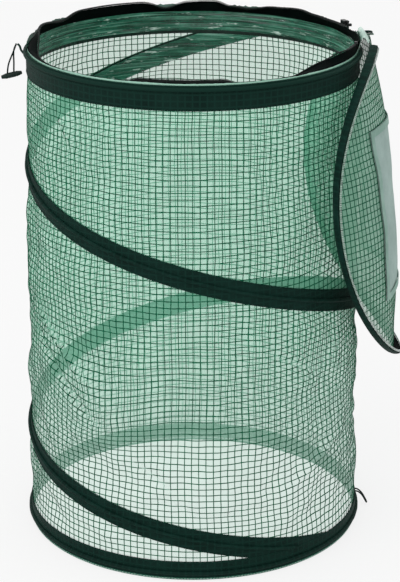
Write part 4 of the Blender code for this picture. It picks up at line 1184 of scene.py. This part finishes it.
def spin_teeth(size, radius, height, pitch, gap, middle=0.0):
    """The bent turns of a nylon coil, seen as short rounded bars, round from one side of a gap to the other."""
    shape = bar(size, (radius, 0, height), size[1] * TOOTH_ROUNDING)
    turn_by(shape, middle + gap)
    turn = 2 * math.pi - 2 * gap
    spin_all(shape, round(turn * radius / pitch), turn=turn, copies=True)
    return shape


def tape_section(inner, outer, low, high):
    """Section of a zip tape, flat and closed."""
    return line_of([(inner, high), (outer, high), (outer, low), (inner, low)], closed=True)


zip_tape = cloth_material("zip_tape", (4, 12, 11), (1, 6, 5), 0.72, 0.0008, specular=0.03)
zip_nylon = new_material("zip_nylon", (9, 20, 18), (4, 11, 10), 0.34, 0.15, 60, 800, specular=0.2)

shape = tape_section(
    ZIP_PATH - ZIP_TAPE_HALF, ZIP_PATH + ZIP_TAPE_HALF, HOUSE_HEIGHT - ZIP_TAPE_TUCK, HOUSE_HEIGHT + ZIP_TAPE_RISE,
)
cut_long_edges(shape, 2, ZIP_TAPE_TUCK, ZIP_ROWS - 1)
spin_all(shape, ZIP_STEPS)
stand_tape(shape)
ring_zip_tape = new_piece("ring_zip_tape", shape, zip_tape)
lay_round_coordinates(ring_zip_tape)
seat(ring_zip_tape, "top_ring", "zip_tape", "body_zip_tape")

shape = spin_teeth(TOOTH_SIZE, ZIP_PATH, HOUSE_HEIGHT + COIL_RISE, TOOTH_PITCH, COIL_START)
stand_tape(shape)
seat(new_piece("ring_zip_coil", shape, zip_nylon), "top_ring", "zip_coil", "body_zip_coil")

black_enamel = new_material("black_enamel", (22, 27, 26), (12, 16, 16), 0.32, 0.15, 80, 1100, Metallic=0.3)
paint(["zip_slider", "zip_pull", "zip_start_stop", "zip_end_stop"], black_enamel)


# Lid: a disc of the same film and scrim, bent by hanging from the ring, with a square vent in it.
# Its edge is bound by a deep dark tape that carries the other half of the zip.
LID_RADIUS = 0.224
LID_EDGE_X = 0.239
LID_EDGE_Z = HOUSE_HEIGHT + 0.014
LID_TILT = math.radians(5.3)
LID_BULGE = 0.017
LID_CURL_RADIUS = 0.225
LID_TWIST = -0.10
LID_FILM_EDGE = 0.2221
LID_FILM_OUT = 0.0004
LID_RIPPLE = 0.0030
VENT_CUT = 0.1145
VENT_HALF = 0.110
VENT_LAP = 0.009
NET_OUT = 0.0019
VENT_HEM_OUT = 0.0030
VENT_HEM_THICKNESS = 0.0009
SKIRT_DEPTH = 0.011
SKIRT_INNER = 0.2224
LID_TAPE_INNER = 0.2213
LID_TAPE_OUTER = 0.2221
LID_COIL_RADIUS = 0.2197
LID_COIL_OUT = 0.0114
LID_TOOTH_SIZE = (0.0030, 0.0011, 0.0012)
LID_TOOTH_PITCH = 0.0024
LID_OPENING = math.radians(11)
LID_PITCH = 0.0088
LID_COLUMNS = 144
LID_ROWS = 40
THREAD_STEP = 0.007
NET_CELLS = 56
VENT_HEM_CUTS = 40
SKIRT_SAMPLES = 9
SKIRT_SWELL = 0.0010
LID_EDGE_STEPS = 264
LID_TAPE_LOW = 0.0011


def hang(shape):
    """Bend a flat lid shape, X across, Y down and Z outwards, to the hanging lid on the house."""
    for vert in shape.verts:
        across, down, out = vert.co
        edge = math.hypot(across, down) / LID_RADIUS
        place = Vector((across, down, 0))
        out += LID_RIPPLE * (1 - ease(edge * 4 - 3)) * noise.noise(place * 16.0) * ease((1.05 - edge) * 5)
        fall = down + LID_RADIUS
        share = fall / (2 * LID_RADIUS)
        angle = across / LID_CURL_RADIUS
        radius = LID_CURL_RADIUS + out
        x = LID_EDGE_X + fall * math.sin(LID_TILT) + LID_BULGE * math.sin(math.pi * share)
        x += radius * math.cos(angle) - LID_CURL_RADIUS + LID_TWIST * across * share
        vert.co = (AXIS_X + x, radius * math.sin(angle), LID_EDGE_Z - fall * math.cos(LID_TILT))


def lay_flat_coordinates(shape):
    """Keep a flat shape's own coordinates, in metres, as its cloth coordinates."""
    layer = shape.loops.layers.uv.new("UVMap")
    for face in shape.faces:
        for loop in face.loops:
            loop[layer].uv = (loop.vert.co.x, loop.vert.co.y)


def lid_piece(name, shape, material, slot, *stood_for, smooth_angle=40, is_sheet=False):
    """A piece of the lid, hung on the house and seated on the lid's body, with a mesh of its own."""
    lay_flat_coordinates(shape)
    hang(shape)
    # Hanging mirrors the flat shape, which turns a closed one inside out
    if not is_sheet:
        bmesh.ops.reverse_faces(shape, faces=shape.faces)
    piece = new_piece(name, shape, material, 180 if is_sheet else smooth_angle, turned=True)
    seat(piece, "lid", slot, *stood_for)
    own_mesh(piece)
    return piece


shape = line_of([(0.0, LID_FILM_OUT), (LID_FILM_EDGE, LID_FILM_OUT)], cuts=LID_ROWS - 1)
spin_all(shape, LID_COLUMNS)
bmesh.ops.remove_doubles(shape, verts=shape.verts, dist=1e-6)
for axis in ((1, 0, 0), (0, 1, 0)):
    for side in (-1, 1):
        bmesh.ops.bisect_plane(
            shape, geom=everything(shape), dist=1e-7, plane_co=Vector(axis) * VENT_CUT * side, plane_no=axis,
        )
inside = [face for face in shape.faces if max(map(abs, face.calc_center_median().xy)) < VENT_CUT]
bmesh.ops.delete(shape, geom=inside, context="FACES")
bmesh.ops.recalc_face_normals(shape, faces=shape.faces)
if sum(face.normal.z for face in shape.faces) < 0:
    bmesh.ops.reverse_faces(shape, faces=shape.faces)
lid_milk = new_material(
    "lid_milk", (138, 192, 166), (118, 172, 146), 0.30, 0.14, 9, 160, (0.25, 0.0006), specular=0.4, Alpha=0.68,
)
lid_film = lid_piece("lid_film", shape, lid_milk, "reinforced_film", "lid_sheet", is_sheet=True)


def add_thread(shape, low, high, offset, upright):
    """Add one flat scrim thread to the lid's, from low to high, cut short so that it can bend."""
    thread = bar((high - low, THREAD_WIDTH, THREAD_DEPTH), ((high + low) / 2, offset, LID_FILM_OUT))
    cut_long_edges(thread, 0, THREAD_WIDTH, max(1, int((high - low) / THREAD_STEP)))
    if upright:
        turn_by(thread, math.pi / 2)
    mesh = bpy.data.meshes.new("thread")
    thread.to_mesh(mesh)
    thread.free()
    shape.from_mesh(mesh)
    bpy.data.meshes.remove(mesh)


shape = bmesh.new()
lines = int(LID_FILM_EDGE / LID_PITCH)
for number in range(-lines - 1, lines + 1):
    offset = (number + 0.5) * LID_PITCH
    if abs(offset) >= LID_FILM_EDGE - THREAD_WIDTH:
        continue
    reach = math.sqrt(LID_FILM_EDGE ** 2 - offset ** 2)
    stretches = [(-reach, reach)] if abs(offset) > VENT_CUT else [(-reach, -VENT_CUT), (VENT_CUT, reach)]
    for upright in (False, True):
        for low, high in stretches:
            add_thread(shape, low, high, offset, upright)
lid_threads = lid_piece("lid_threads", shape, scrim_thread, "reinforced_film", smooth_angle=60)

vent_fleece = new_material(
    "vent_net", (172, 196, 190), (148, 172, 166), 0.62, 0.2, 18, 900, (0.5, 0.0003), "UV", specular=0.2, Alpha=0.88,
)
shape = bmesh.new()
bmesh.ops.create_grid(shape, x_segments=NET_CELLS, y_segments=NET_CELLS, size=VENT_HALF + VENT_LAP)
bmesh.ops.translate(shape, vec=(0, 0, NET_OUT), verts=shape.verts)
lid_piece("vent_net", shape, vent_fleece, "vent_net", "lid_vent_net", is_sheet=True)

shape = bmesh.new()
bmesh.ops.create_grid(shape, x_segments=1, y_segments=1, size=VENT_HALF + VENT_LAP)
bmesh.ops.translate(shape, vec=(0, 0, VENT_HEM_OUT), verts=shape.verts)
bmesh.ops.inset_region(shape, faces=shape.faces, thickness=VENT_LAP, use_even_offset=True, use_boundary=True)
bmesh.ops.delete(
    shape, geom=[face for face in shape.faces if face.calc_center_median().length < VENT_HALF], context="FACES",
)
bmesh.ops.subdivide_edges(shape, edges=shape.edges, cuts=VENT_HEM_CUTS, use_grid_fill=True)
raised = bmesh.ops.extrude_face_region(shape, geom=list(shape.faces))["geom"]
bmesh.ops.translate(
    shape, vec=(0, 0, VENT_HEM_THICKNESS), verts=[item for item in raised if isinstance(item, bmesh.types.BMVert)],
)
bmesh.ops.recalc_face_normals(shape, faces=shape.faces)
vent_tape = new_material(
    "vent_tape", (150, 180, 169), (122, 156, 143), 0.6, 0.2, 30, 900, (0.5, 0.0003), specular=0.2,
)
lid_piece("vent_hem", shape, vent_tape, "dark_tape", "lid_vent_hem")


def bind_edge(shape):
    """Spin a closed section round the lid's edge, from one side of the hinge to the other."""
    shape.faces.new(list(shape.verts))
    turn_by(shape, LID_OPENING - math.pi / 2)
    spin_all(shape, LID_EDGE_STEPS, turn=2 * math.pi - 2 * LID_OPENING)
    bmesh.ops.recalc_face_normals(shape, faces=shape.faces)
    return shape


outer_face = []
for step in range(SKIRT_SAMPLES):
    share = step / (SKIRT_SAMPLES - 1)
    outer_face.append((LID_RADIUS + SKIRT_SWELL * math.sin(math.pi * share), SKIRT_DEPTH * share))
inner_face = [(SKIRT_INNER, SKIRT_DEPTH * share) for share in (1.0, 0.75, 0.5, 0.25, 0.0)]
shape = bind_edge(line_of(outer_face + inner_face, closed=True))
lid_piece("lid_binding", shape, sleeve_tape, "dark_tape", "lid_edge_band")

shape = bind_edge(tape_section(LID_TAPE_INNER, LID_TAPE_OUTER, LID_TAPE_LOW, SKIRT_DEPTH))
lid_piece("lid_zip_tape_edge", shape, zip_tape, "zip_tape", "lid_zip_tape")

silver_nylon = new_material(
    "silver_nylon", (214, 222, 218), (140, 154, 148), 0.30, 0.15, 160, 800, specular=0.6,
)
shape = spin_teeth(LID_TOOTH_SIZE, LID_COIL_RADIUS, LID_COIL_OUT, LID_TOOTH_PITCH, LID_OPENING, -math.pi / 2)
lid_piece("lid_zip_teeth", shape, silver_nylon, "zip_coil", "lid_zip_coil")


# Hinge: a short strip of film that rises from the ring, folds over and carries the lid.
# Its raw ends are frayed.
STRIP_HALF_ANGLE = math.radians(8)
STRIP_FRAY = math.radians(1.6)
STRIP_CRUMPLE = 0.0008
STRIP_ROWS = 18
STRIP_COLUMNS = 36
STRIP_KNOTS = (
    (0.22575, 0, HOUSE_HEIGHT + 0.0003), (0.22675, 0, HOUSE_HEIGHT + 0.0111), (0.2321, 0, HOUSE_HEIGHT + 0.0183),
    (LID_EDGE_X - 0.00085, 0, LID_EDGE_Z - 0.004),
)

shape = line_of([(spot.x, spot.z) for spot in smooth_path(STRIP_KNOTS, STRIP_ROWS)])
turn_by(shape, -STRIP_HALF_ANGLE)
spin_all(shape, STRIP_COLUMNS, turn=2 * STRIP_HALF_ANGLE)
for vert in shape.verts:
    azimuth, wide = round_place(vert)
    wide += STRIP_CRUMPLE * noise.noise(vert.co * 90.0)
    side = ease(abs(azimuth) / STRIP_HALF_ANGLE * 3 - 2)
    azimuth += math.copysign(side * STRIP_FRAY * noise.noise(vert.co * 420.0), azimuth)
    vert.co = on_house(azimuth, wide, vert.co.z)
face_outwards(shape)
frayed_film = new_material("frayed_film", (206, 234, 222), (164, 208, 190), 0.3, 0.2, 60, 500, Alpha=0.86)
hinge_strip = new_piece("hinge_strip", shape, frayed_film, 180, turned=True)
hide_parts("lid_hinge_strip")
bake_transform(hinge_strip)
